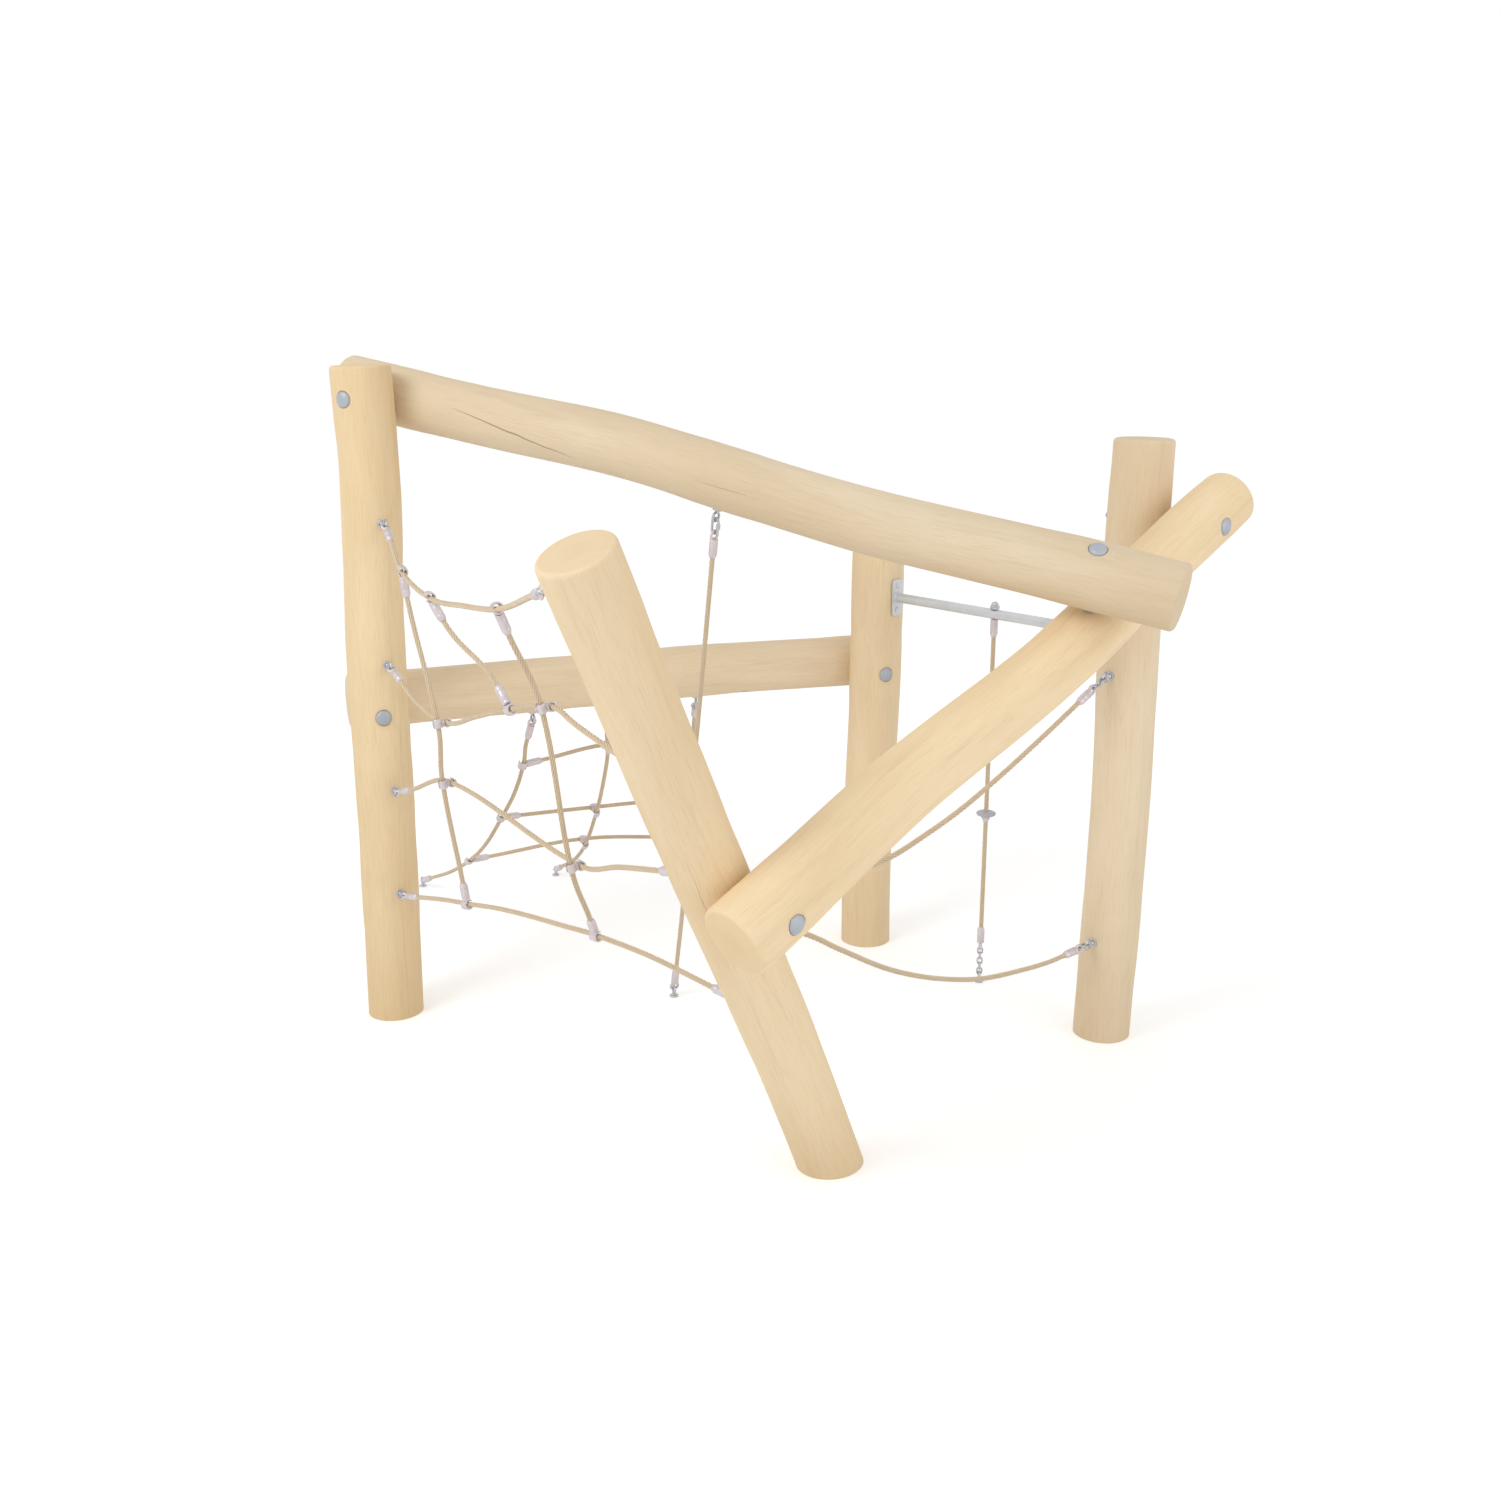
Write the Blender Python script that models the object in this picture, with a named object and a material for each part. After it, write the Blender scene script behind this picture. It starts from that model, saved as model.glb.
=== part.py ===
# Four-sided climbing net on peeled robinia logs
# Metres, +Z up, origin on the ground below the middle of the whole, front towards -Y.

from math import copysign, cos, pi, radians, sin, sqrt

import bmesh
import bpy
from mathutils import Matrix, Vector

# Logs
LOG_RADIUS = 0.0945            # posts and beams are the same stock
DIAGONAL_BUTT_RADIUS = 0.0985  # the diagonal beam is a thicker log at its low end
DIAGONAL_TIP_RADIUS = 0.091
LOG_RIM = 0.012                # rounding of the sawn ends
FOOT_DEPTH = 0.08              # spare length that the ground cut takes off each post
SEAT_DEPTH = 0.010             # how deep a beam is scribed over the post it lies on
CLEARANCE = 0.0003             # gap between pieces that touch
SWING_GAP = 0.0008             # and between an eye and the swinging piece that hangs in it

# Plan of the posts on the ground, round the middle of the four
SIDE_SPAN = 2.382              # from the left post across to the right post
DEPTH_SPAN = 1.629             # from the front post back to the rear post
PLAN_MIDDLE_X = -0.075
PLAN_MIDDLE_Y = -0.0545
LEFT_POST_Y = 0.122
RIGHT_POST_Y = -0.045
FRONT_POST_X = 0.171
REAR_POST_X = 0.392
FRONT_LEAN_LEFT = 0.586        # how far the front post's top leans to the left
FRONT_LEAN_OUT = 0.658         # and out to the front
LEFT_LEAN = 0.021              # the other posts lean a little to the right
RIGHT_LEAN = 0.014
REAR_LEAN = 0.017

# Heights at which the beams, the steel bar and the net's highest eye meet the posts
TOP_BEAM_HEIGHT = 2.047
REAR_BEAM_HEIGHT = 1.054
CROSSBAR_HEIGHT = 1.332
DIAGONAL_LOW_HEIGHT = 0.944
DIAGONAL_HIGH_HEIGHT = 1.700
FRONT_EYE_HEIGHT = 1.726

# Each post stands up past the highest piece that is fixed to it
POST_LEFT_ABOVE_BEAM = 0.100
POST_RIGHT_ABOVE_DIAGONAL = 0.238
POST_REAR_ABOVE_BAR = 0.258
POST_FRONT_ABOVE_EYE = 0.081
POST_LEFT_HEIGHT = TOP_BEAM_HEIGHT + POST_LEFT_ABOVE_BEAM
POST_RIGHT_HEIGHT = DIAGONAL_HIGH_HEIGHT + POST_RIGHT_ABOVE_DIAGONAL
POST_REAR_HEIGHT = CROSSBAR_HEIGHT + POST_REAR_ABOVE_BAR
POST_FRONT_HEIGHT = FRONT_EYE_HEIGHT + POST_FRONT_ABOVE_EYE

# Ground anchors: three in a row behind the rear beam, and one under the middle rope
REAR_ANCHOR_X = -0.882
REAR_ANCHOR_Y = 1.462
ANCHOR_SPACING_X = 0.541
ANCHOR_SPACING_Y = 0.134
MIDDLE_ANCHOR_X = -0.317
MIDDLE_ANCHOR_Y = 0.232

# Beams past the bolts that hold them
TOP_BEAM_LEFT_REACH = 0.195    # beam length beyond the bolt at the left post
TOP_BEAM_RIGHT_REACH = 0.237   # and beyond the bolt on the diagonal beam
REAR_BEAM_LEFT_REACH = 0.078
REAR_BEAM_RIGHT_REACH = 0.150
DIAGONAL_LOW_REACH = 0.120
DIAGONAL_HIGH_REACH = 0.163
TOP_BOLT_SHARE = 0.655         # place of the top bolt along the diagonal beam

# Bolts, washers and spacers
BOLT_RADIUS = 0.008
BOLT_HEAD_RADIUS = 0.0245
BOLT_HEAD_RISE = 0.011
SPOT_FACE_DEPTH = 0.005
SPOT_FACE_MARGIN = 0.002
NUT_RADIUS = 0.0145
NUT_HEIGHT = 0.013
WASHER_THICKNESS = 0.004
BOLT_TIP = 0.006
POST_SPACER_GAP = 0.022        # open width between the diagonal beam and the right post
BEAM_SPACER_GAP = 0.022        # and between the top beam and the diagonal beam
SPACER_SINK = 0.002            # depth of the flat that a spacer stands on
SPACER_RADIUS = 0.019

# Steel bar with its welded end plates
BAR_RADIUS = 0.01685
PLATE_HEIGHT = 0.130
PLATE_WIDTH = 0.050
PLATE_THICKNESS = 0.006
PLATE_SCREW_SPACING = 0.088
SCREW_RADIUS = 0.005
SCREW_HEAD_RADIUS = 0.011
SCREW_DEPTH = 0.070

# Rope and its pressed aluminium fittings
ROPE_RADIUS = 0.008
FERRULE_RADIUS = 0.0130
FERRULE_LENGTH = 0.060
FERRULE_NECK = 0.010
FERRULE_LEAN = 25               # most that a clamp's ferrule leans towards its rope, in degrees
LOOP_RADIUS = 0.0135
LOOP_WIRE = 0.0042
CLAMP_WALL = 0.0065
CLAMP_WIDTH = 0.028
CLAMP_OVERLAP = 0.0022
CLAMP_SPACING = 2 * (ROPE_RADIUS + CLAMP_WALL) + CLEARANCE - CLAMP_OVERLAP
HOLD_LENGTH = 0.038            # straight stretch of a rope where a clamp grips it

# Eye bolts, ground anchors, chain and quick links
EYE_RADIUS = 0.0130
EYE_WIRE = 0.0045
EYE_NECK = 0.010
EYE_COLLAR_RADIUS = 0.0150
EYE_COLLAR_HEIGHT = 0.004
EYE_SHANK_RADIUS = 0.0060
EYE_SHANK_DEPTH = 0.075
EYE_NUT_HEIGHT = 0.019         # eye nut on the end of the low bolt of the diagonal beam
EYE_NUT_BORE = 0.012
ANCHOR_RADIUS = 0.016
ANCHOR_THICKNESS = 0.006
ANCHOR_NECK = 0.006
CHAIN_WIRE = 0.0032
CHAIN_HALF_LENGTH = 0.0125
CHAIN_HALF_WIDTH = 0.0085
CHAIN_FUSE = 0.0009
QUICK_LINK_WIRE = 0.0040
QUICK_LINK_HALF_LENGTH = 0.0240
QUICK_LINK_HALF_WIDTH = 0.0120
QUICK_LINK_NUT_RADIUS = 0.0068
QUICK_LINK_NUT_LENGTH = 0.016

# Disc rope
DISC_RADIUS = 0.034
DISC_THICKNESS = 0.016
DISC_HEIGHT = 0.632
DISC_ROPE_SHARE = 0.504        # place of the disc rope along the steel bar
DISC_COLLAR_RADIUS = 0.0150
DISC_COLLAR_LENGTH = 0.022
STUD_RADIUS = 0.0060
STUD_NUT_RADIUS = 0.0150
STUD_NUT_LENGTH = 0.026

# Facets
LOG_SIDES = 16
LOG_STEP = 0.36
ROPE_STEP = 0.150
CORD_STEP = 0.046
WIRE_SIDES = 5
EYE_SIDES = 10
LINK_SIDES = 8
TURNED_SIDES = 10
STEM_SIDES = 6
CLAMP_SIDES = 6
BORE_SIDES = 8
NET_SIDES = 6                  # facets round a net's ropes
CORD_SIDES = 8                 # and round the ropes that hang alone
FINE_STEPS = 16                # steps of a smooth curve between two of its points

X = Vector((1, 0, 0))
Y = Vector((0, 1, 0))
Z = Vector((0, 0, 1))


# Scene and materials

def clear_scene():
    for old in list(bpy.data.objects):
        bpy.data.objects.remove(old)


def material(name, colour, roughness, metallic=0.0):
    made = bpy.data.materials.new(name)
    made.use_nodes = True
    shader = made.node_tree.nodes["Principled BSDF"]
    shader.inputs["Base Color"].default_value = (*colour, 1.0)
    shader.inputs["Roughness"].default_value = roughness
    shader.inputs["Metallic"].default_value = metallic
    return made


WOOD = (0.74, 0.60, 0.40)
STEEL = (0.58, 0.60, 0.62)
ALUMINIUM = (0.66, 0.66, 0.69)
ROPE = (0.56, 0.45, 0.28)
PLASTIC = (0.45, 0.48, 0.52)


def add_node(name, solid, colour, roughness, metallic=0.0, origin=None, sharp=38):
    # Turns a finished bmesh into the named object, with its origin at a place on the piece
    origin = Vector((0, 0, 0)) if origin is None else Vector(origin)
    bmesh.ops.translate(solid, verts=solid.verts, vec=-origin)
    bmesh.ops.recalc_face_normals(solid, faces=solid.faces)
    mesh = bpy.data.meshes.new(name)
    solid.to_mesh(mesh)
    solid.free()
    mesh.shade_smooth()
    mesh.set_sharp_from_angle(angle=radians(sharp))
    mesh.materials.append(material(name + "_finish", colour, roughness, metallic))
    piece = bpy.data.objects.new(name, mesh)
    piece.location = origin
    bpy.context.scene.collection.objects.link(piece)
    return piece


# Curves through space

def smooth_route(points, step, kept=()):
    # Smooth curve through the points, read at about equal steps; the kept ones stay as points
    points = [Vector(p) for p in points]
    spans = [(q - p).length for p, q in zip(points, points[1:])]
    runs = [(q - p) / span for p, q, span in zip(points, points[1:], spans)]
    slopes = [runs[0]]
    for i in range(1, len(runs)):
        slopes.append((runs[i - 1] * spans[i] + runs[i] * spans[i - 1])
                      / (spans[i - 1] + spans[i]))
    slopes.append(runs[-1])
    fine = [points[0]]
    lengths = [0.0]
    for i, span in enumerate(spans):
        for k in range(1, FINE_STEPS + 1):
            t = k / FINE_STEPS
            fine.append(points[i] * (1 + 2 * t) * (1 - t) ** 2
                        + slopes[i] * span * t * (1 - t) ** 2
                        + points[i + 1] * t * t * (3 - 2 * t)
                        - slopes[i + 1] * span * t * t * (1 - t))
            lengths.append(lengths[-1] + (fine[-1] - fine[-2]).length)
    stops = sorted({0, len(spans), *kept})
    route = [points[0]]
    j = 0
    for first, last in zip(stops, stops[1:]):
        low = lengths[first * FINE_STEPS]
        reach = lengths[last * FINE_STEPS] - low
        count = max(1, round(reach / step))
        for k in range(1, count + 1):
            want = low + reach * k / count
            while j < len(fine) - 2 and lengths[j + 1] < want:
                j += 1
            share = (want - lengths[j]) / (lengths[j + 1] - lengths[j])
            route.append(fine[j].lerp(fine[j + 1], min(1.0, share)))
    return route


def route_length(route):
    return sum((q - p).length for p, q in zip(route, route[1:]))


def point_along(route, share):
    # Point and direction at a share of a route's length
    want = route_length(route) * share
    for p, q in zip(route, route[1:]):
        span = (q - p).length
        if want <= span:
            return p.lerp(q, want / span), (q - p).normalized()
        want -= span
    return route[-1].copy(), (route[-1] - route[-2]).normalized()


def point_at_height(route, height):
    for p, q in zip(route, route[1:]):
        if min(p.z, q.z) <= height <= max(p.z, q.z):
            share = (height - p.z) / (q.z - p.z)
            return p.lerp(q, share), (q - p).normalized()
    raise ValueError("the log does not reach that height")


def nearest_on(route, target):
    # Nearest point of a route to a target, with the route's direction there
    best = None
    for p, q in zip(route, route[1:]):
        run = q - p
        share = min(1.0, max(0.0, (target - p).dot(run) / run.length_squared))
        spot = p + run * share
        gap = (target - spot).length
        if best is None or gap < best[0]:
            best = (gap, spot, run.normalized())
    return best[1], best[2]


def square_to(vector, axis):
    # The part of a vector that is square to an axis, at unit length
    return (vector - axis * vector.dot(axis)).normalized()


# Solids

def frame_of(direction, hint):
    across = square_to(hint, direction)
    return across, direction.cross(across).normalized()


def sweep(route, radii, sides, closed=False, hint=None, mitre=1.0):
    # Round tube along a route, with one radius for each of its points. The mitre stretches each
    # ring square to the hint, so that a tube in a plane keeps its thickness between its corners
    solid = bmesh.new()
    count = len(route)
    if closed:
        runs = [(route[(i + 1) % count] - route[i - 1]).normalized() for i in range(count)]
    else:
        runs = [(route[min(i + 1, count - 1)] - route[max(i - 1, 0)]).normalized()
                for i in range(count)]
    if hint is None:
        hint = X if abs(runs[0].x) < 0.8 else Y
    rings = []
    across = hint
    for centre, run, radius in zip(route, runs, radii):
        across, up = frame_of(run, across)
        ring = []
        for k in range(sides):
            angle = 2 * pi * (k + 0.5) / sides
            spoke = across * cos(angle) + up * (sin(angle) * mitre)
            ring.append(solid.verts.new(centre + spoke * radius))
        rings.append(ring)
    pairs = list(zip(rings, rings[1:]))
    if closed:
        pairs.append((rings[-1], rings[0]))
    for low, high in pairs:
        for k in range(sides):
            n = (k + 1) % sides
            solid.faces.new((low[k], low[n], high[n], high[k]))
    if not closed:
        solid.faces.new(rings[0][::-1])
        solid.faces.new(rings[-1])
    return solid


def turned(profile, base, axis, sides=TURNED_SIDES, hint=None):
    # Revolves a profile of (height along the axis, radius) pairs, with flat ends
    route = [base + axis * height for height, _ in profile]
    across, up = frame_of(axis, hint or (X if abs(axis.x) < 0.8 else Y))
    solid = bmesh.new()
    rings = []
    for centre, (_, radius) in zip(route, profile):
        ring = []
        for k in range(sides):
            angle = 2 * pi * (k + 0.5) / sides
            ring.append(solid.verts.new(centre + (across * cos(angle) + up * sin(angle)) * radius))
        rings.append(ring)
    for low, high in zip(rings, rings[1:]):
        for k in range(sides):
            n = (k + 1) % sides
            solid.faces.new((low[k], low[n], high[n], high[k]))
    solid.faces.new(rings[0][::-1])
    solid.faces.new(rings[-1])
    bmesh.ops.recalc_face_normals(solid, faces=solid.faces)
    return solid


def ring_section(centre, axis, section, sides):
    # Revolves a closed section of (height, radius) pairs round an axis: a solid with a bore
    across, up = frame_of(axis, X if abs(axis.x) < 0.8 else Y)
    solid = bmesh.new()
    # The flats of a faceted bore stay outside the round that it has to clear
    rings = []
    for height, radius in section:
        reach = radius / cos(pi / sides)
        ring = []
        for k in range(sides):
            angle = 2 * pi * (k + 0.5) / sides
            spot = centre + axis * height + (across * cos(angle) + up * sin(angle)) * reach
            ring.append(solid.verts.new(spot))
        rings.append(ring)
    for low, high in zip(rings, rings[1:] + rings[:1]):
        for k in range(sides):
            n = (k + 1) % sides
            solid.faces.new((low[k], low[n], high[n], high[k]))
    bmesh.ops.recalc_face_normals(solid, faces=solid.faces)
    return solid


def collar(centre, axis, bore, outer, width, sides=BORE_SIDES):
    section = [(-width / 2, bore), (-width / 2, outer), (width / 2, outer), (width / 2, bore)]
    return ring_section(centre, axis, section, sides)


def box(centre, x_axis, y_axis, z_axis, size):
    solid = bmesh.new()
    bmesh.ops.create_cube(solid, size=1.0)
    turn = Matrix((x_axis, y_axis, z_axis)).transposed().to_4x4()
    scale = Matrix.Diagonal((*size, 1.0))
    bmesh.ops.transform(solid, matrix=Matrix.Translation(centre) @ turn @ scale, verts=solid.verts)
    return solid


def oval_link(centre, run, side, half_length, half_width, wire, sides=LINK_SIDES):
    # Stadium-shaped ring of round wire, measured on the wire's centre line. Its ends bend round a
    # polygon whose flat, or whose corner with an odd count, lies square to the run
    straight = half_length - half_width
    reach = half_width / (cos(pi / sides) if sides // 2 % 2 == 0 else 1.0)
    route = []
    for turn, end in ((-0.5 * pi, 1), (0.5 * pi, -1)):
        for k in range(sides // 2):
            angle = turn + pi * (k + 0.5) / (sides // 2)
            local = run * (end * straight + cos(angle) * reach) + side * sin(angle) * reach
            route.append(centre + local)
    return sweep(route, [wire] * len(route), WIRE_SIDES, closed=True, hint=run.cross(side),
                 mitre=1 / cos(pi / sides))


def boolean(target, tool, operation):
    # One exact Boolean of two bmeshes
    objects = []
    for solid in (target, tool):
        bmesh.ops.recalc_face_normals(solid, faces=solid.faces)
        mesh = bpy.data.meshes.new("working")
        solid.to_mesh(mesh)
        solid.free()
        working = bpy.data.objects.new("working", mesh)
        bpy.context.scene.collection.objects.link(working)
        objects.append(working)
    cut = objects[0].modifiers.new("cut", "BOOLEAN")
    cut.operation = operation
    cut.object = objects[1]
    cut.solver = "EXACT"
    shown = objects[0].evaluated_get(bpy.context.evaluated_depsgraph_get())
    result = bmesh.new()
    result.from_mesh(shown.to_mesh())
    shown.to_mesh_clear()
    for working in objects:
        mesh = working.data
        bpy.data.objects.remove(working)
        bpy.data.meshes.remove(mesh)
    return result


def fuse(*solids):
    whole = solids[0]
    for solid in solids[1:]:
        whole = boolean(whole, solid, "UNION")
    return whole


def drill(solid, start, end, radius, sides=BORE_SIDES):
    # The flats of a hole line up with those of the shaft in it, which has as many sides
    bore = turned([(0, radius), ((end - start).length, radius)], start,
                  (end - start).normalized(), sides)
    return boolean(solid, bore, "DIFFERENCE")


# Logs

def log_axis(start, end, bows):
    # Centre line of a log: straight from end to end, moved aside by its natural bows
    points = [start]
    for share, aside in bows:
        points.append(start.lerp(end, share) + Vector(aside))
    points.append(end)
    return smooth_route(points, LOG_STEP)


def log_solid(axis, butt, tip, grow=0.0, rim=LOG_RIM):
    # Round log with softened ends; grow makes the slightly larger cutter that scribes a seat
    total = route_length(axis)
    run_in = (axis[1] - axis[0]).normalized()
    run_out = (axis[-1] - axis[-2]).normalized()
    soft = rim * (1 - sqrt(0.5))
    stations = [(axis[0], butt - rim), (axis[0] + run_in * soft, butt - soft),
                (axis[0] + run_in * rim, butt)]
    walked = 0.0
    for p, q in zip(axis, axis[1:-1]):
        walked += (q - p).length
        stations.append((q, butt + (tip - butt) * walked / total))
    stations += [(axis[-1] - run_out * rim, tip), (axis[-1] - run_out * soft, tip - soft),
                 (axis[-1], tip - rim)]
    return sweep([s[0] for s in stations], [s[1] + grow for s in stations], LOG_SIDES)


def ground_cut(solid):
    # Saws a post off level with the ground and closes the cut
    cut = bmesh.ops.bisect_plane(solid, geom=solid.verts[:] + solid.edges[:] + solid.faces[:],
                                 plane_co=(0, 0, 0), plane_no=(0, 0, 1), clear_inner=True)
    rim = [e for e in cut["geom_cut"] if isinstance(e, bmesh.types.BMEdge)]
    bmesh.ops.contextual_create(solid, geom=rim)
    return solid


def stand_post(x, y, lean, height, bows):
    foot = Vector((x, y, 0))
    top = foot + Vector((*lean, height))
    below = foot - (top - foot).normalized() * FOOT_DEPTH
    return log_axis(below, top, bows)


POST_AXES = {
    "left": stand_post(PLAN_MIDDLE_X - SIDE_SPAN / 2, LEFT_POST_Y, (LEFT_LEAN, 0), POST_LEFT_HEIGHT,
                       [(0.35, (0.004, 0, 0)), (0.62, (0, 0, 0)), (0.85, (0.011, 0, 0))]),
    "front": stand_post(FRONT_POST_X, PLAN_MIDDLE_Y - DEPTH_SPAN / 2,
                        (-FRONT_LEAN_LEFT, -FRONT_LEAN_OUT), POST_FRONT_HEIGHT,
                        [(0.25, (0.009, 0, 0)), (0.60, (-0.002, 0, 0.004))]),
    "right": stand_post(PLAN_MIDDLE_X + SIDE_SPAN / 2, RIGHT_POST_Y, (RIGHT_LEAN, 0),
                        POST_RIGHT_HEIGHT, [(0.45, (0.008, 0, 0)), (0.72, (-0.003, 0, 0))]),
    "rear": stand_post(REAR_POST_X, PLAN_MIDDLE_Y + DEPTH_SPAN / 2, (REAR_LEAN, 0),
                       POST_REAR_HEIGHT, [(0.30, (-0.006, 0, 0)), (0.60, (0.003, 0, 0))]),
}


def post_point(post, height):
    return point_at_height(POST_AXES[post], height)[0]


# Where each beam's centre line passes the post that carries it
REAR_SIDE = Vector((-0.360, 0.933, 0)).normalized()
TOP_SIDE = Vector((0.430, 0.900, 0)).normalized()
DIAGONAL_FRONT_SIDE = Vector((0.683, -0.728, -0.050)).normalized()
DIAGONAL_RIGHT_SIDE = Vector((0.680, -0.734, 0)).normalized()
TOP_ON_DIAGONAL_SIDE = Vector((-0.043, -0.520, 0.853)).normalized()


def beam_axis(first, second, reach_first, reach_second, bows):
    # Centre line of a beam through its two bolted places; the bows lie between them, and each is
    # a share of that length with its rise
    run = (second - first).normalized()
    points = [first - run * reach_first, first]
    points += [first.lerp(second, share) + Z * rise for share, rise in bows]
    points += [second, second + run * reach_second]
    return smooth_route(points, LOG_STEP, (1, len(points) - 2))


SCRIBED = LOG_RADIUS * 2 - SEAT_DEPTH
REAR_BEAM_LEFT = post_point("left", REAR_BEAM_HEIGHT) + REAR_SIDE * SCRIBED
REAR_BEAM_REAR = post_point("rear", REAR_BEAM_HEIGHT) + REAR_SIDE * SCRIBED
REAR_BEAM = beam_axis(REAR_BEAM_LEFT, REAR_BEAM_REAR, REAR_BEAM_LEFT_REACH,
                      REAR_BEAM_RIGHT_REACH, [(0.35, 0.004), (0.65, 0.008)])

DIAGONAL_LOW = (post_point("front", DIAGONAL_LOW_HEIGHT)
                + DIAGONAL_FRONT_SIDE * (LOG_RADIUS + DIAGONAL_BUTT_RADIUS - SEAT_DEPTH))
DIAGONAL_HIGH = (post_point("right", DIAGONAL_HIGH_HEIGHT)
                 + DIAGONAL_RIGHT_SIDE * (LOG_RADIUS + DIAGONAL_TIP_RADIUS + POST_SPACER_GAP))
DIAGONAL = beam_axis(DIAGONAL_LOW, DIAGONAL_HIGH, DIAGONAL_LOW_REACH, DIAGONAL_HIGH_REACH,
                     [(0.25, 0.012), (0.60, -0.028)])

# The two radii hold at the bolts, and the taper runs on to the ends
DIAGONAL_TAPER = ((DIAGONAL_BUTT_RADIUS - DIAGONAL_TIP_RADIUS)
                  / (DIAGONAL_HIGH - DIAGONAL_LOW).length)
DIAGONAL_START_RADIUS = DIAGONAL_BUTT_RADIUS + DIAGONAL_TAPER * DIAGONAL_LOW_REACH
DIAGONAL_END_RADIUS = DIAGONAL_TIP_RADIUS - DIAGONAL_TAPER * DIAGONAL_HIGH_REACH


def diagonal_radius(share):
    return DIAGONAL_START_RADIUS + (DIAGONAL_END_RADIUS - DIAGONAL_START_RADIUS) * share


TOP_BEAM_LEFT = post_point("left", TOP_BEAM_HEIGHT) + TOP_SIDE * SCRIBED
TOP_BOLT_FOOT, DIAGONAL_RUN_AT_TOP = point_along(DIAGONAL, TOP_BOLT_SHARE)
TOP_BOLT_SIDE = square_to(TOP_ON_DIAGONAL_SIDE, DIAGONAL_RUN_AT_TOP)
TOP_BEAM_RIGHT = TOP_BOLT_FOOT + TOP_BOLT_SIDE * (diagonal_radius(TOP_BOLT_SHARE) + LOG_RADIUS
                                                  + BEAM_SPACER_GAP)
TOP_BEAM = beam_axis(TOP_BEAM_LEFT, TOP_BEAM_RIGHT, TOP_BEAM_LEFT_REACH, TOP_BEAM_RIGHT_REACH,
                     [(0.17, 0.007), (0.36, 0.021), (0.55, 0.002), (0.68, -0.010)])

BEAM_AXES = {"rear": REAR_BEAM, "diagonal": DIAGONAL, "top": TOP_BEAM}
BEAM_ORIGINS = {"beam_rear": REAR_BEAM_LEFT, "beam_diagonal": DIAGONAL_LOW, "beam_top": TOP_BEAM_LEFT}


# Through bolts: a domed head, a rod, a washer and a nut run up on the far side

class Bolt:
    def __init__(self, name, head_log, head_centre, head_radius, nut_log, nut_centre, nut_radius,
                 spacer=None, eye_nut=False):
        self.name = name
        self.eye_nut = eye_nut
        self.head_log = head_log
        self.nut_log = nut_log
        self.run = (nut_centre - head_centre).normalized()
        self.head_seat = head_centre - self.run * (head_radius - SPOT_FACE_DEPTH)
        self.nut_seat = nut_centre + self.run * (nut_radius - SPOT_FACE_DEPTH)
        self.spacer = spacer
        self.head_flat = head_centre + self.run * (head_radius - SPACER_SINK)
        self.nut_flat = nut_centre - self.run * (nut_radius - SPACER_SINK)
        self.spacer_length = (self.nut_flat - self.head_flat).dot(self.run) - 2 * CLEARANCE

    def holes(self, solid, log):
        outer = LOG_RADIUS
        solid = drill(solid, self.head_seat - self.run * outer, self.nut_seat + self.run * outer,
                      BOLT_RADIUS + CLEARANCE)
        if log == self.head_log:
            solid = drill(solid, self.head_seat - self.run * outer, self.head_seat,
                          BOLT_HEAD_RADIUS + SPOT_FACE_MARGIN, TURNED_SIDES)
        if log == self.nut_log:
            solid = drill(solid, self.nut_seat, self.nut_seat + self.run * outer,
                          BOLT_HEAD_RADIUS + SPOT_FACE_MARGIN, TURNED_SIDES)
        if self.spacer:
            flat, out = ((self.head_flat, self.run) if log == self.head_log
                         else (self.nut_flat, -self.run))
            solid = drill(solid, flat, flat + out * (self.spacer_length / 2),
                          SPACER_RADIUS + SPOT_FACE_MARGIN, TURNED_SIDES)
        return solid

    def build(self):
        under_head = self.head_seat - self.run * CLEARANCE
        rod_length = (self.nut_seat - under_head).dot(self.run) + CLEARANCE
        top = self.run * -1
        head = turned([(0, BOLT_HEAD_RADIUS), (BOLT_HEAD_RISE * 0.35, BOLT_HEAD_RADIUS),
                       (BOLT_HEAD_RISE * 0.80, BOLT_HEAD_RADIUS * 0.72),
                       (BOLT_HEAD_RISE, BOLT_HEAD_RADIUS * 0.36)], under_head, top)
        beyond = EYE_NUT_BORE - BOLT_TIP / 2 if self.eye_nut else NUT_HEIGHT + BOLT_TIP
        end = rod_length + WASHER_THICKNESS + beyond
        rod = turned([(-0.002, BOLT_RADIUS), (end, BOLT_RADIUS)], under_head, self.run, BORE_SIDES)
        washer = turned([(0, BOLT_HEAD_RADIUS), (WASHER_THICKNESS, BOLT_HEAD_RADIUS)],
                        under_head + self.run * rod_length, self.run)
        solids = [head, rod, washer]
        if not self.eye_nut:
            solids.append(turned([(-0.001, NUT_RADIUS), (NUT_HEIGHT, NUT_RADIUS)],
                                 under_head + self.run * (rod_length + WASHER_THICKNESS),
                                 self.run, 6))
        add_node(self.name, fuse(*solids), STEEL, 0.35, 0.9, under_head)
        if self.spacer:
            middle = (self.head_flat + self.nut_flat) / 2
            tube = collar(middle, self.run, BOLT_RADIUS + CLEARANCE, SPACER_RADIUS,
                          self.spacer_length, TURNED_SIDES)
            add_node(self.spacer, tube, STEEL, 0.4, 0.9, middle)


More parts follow.
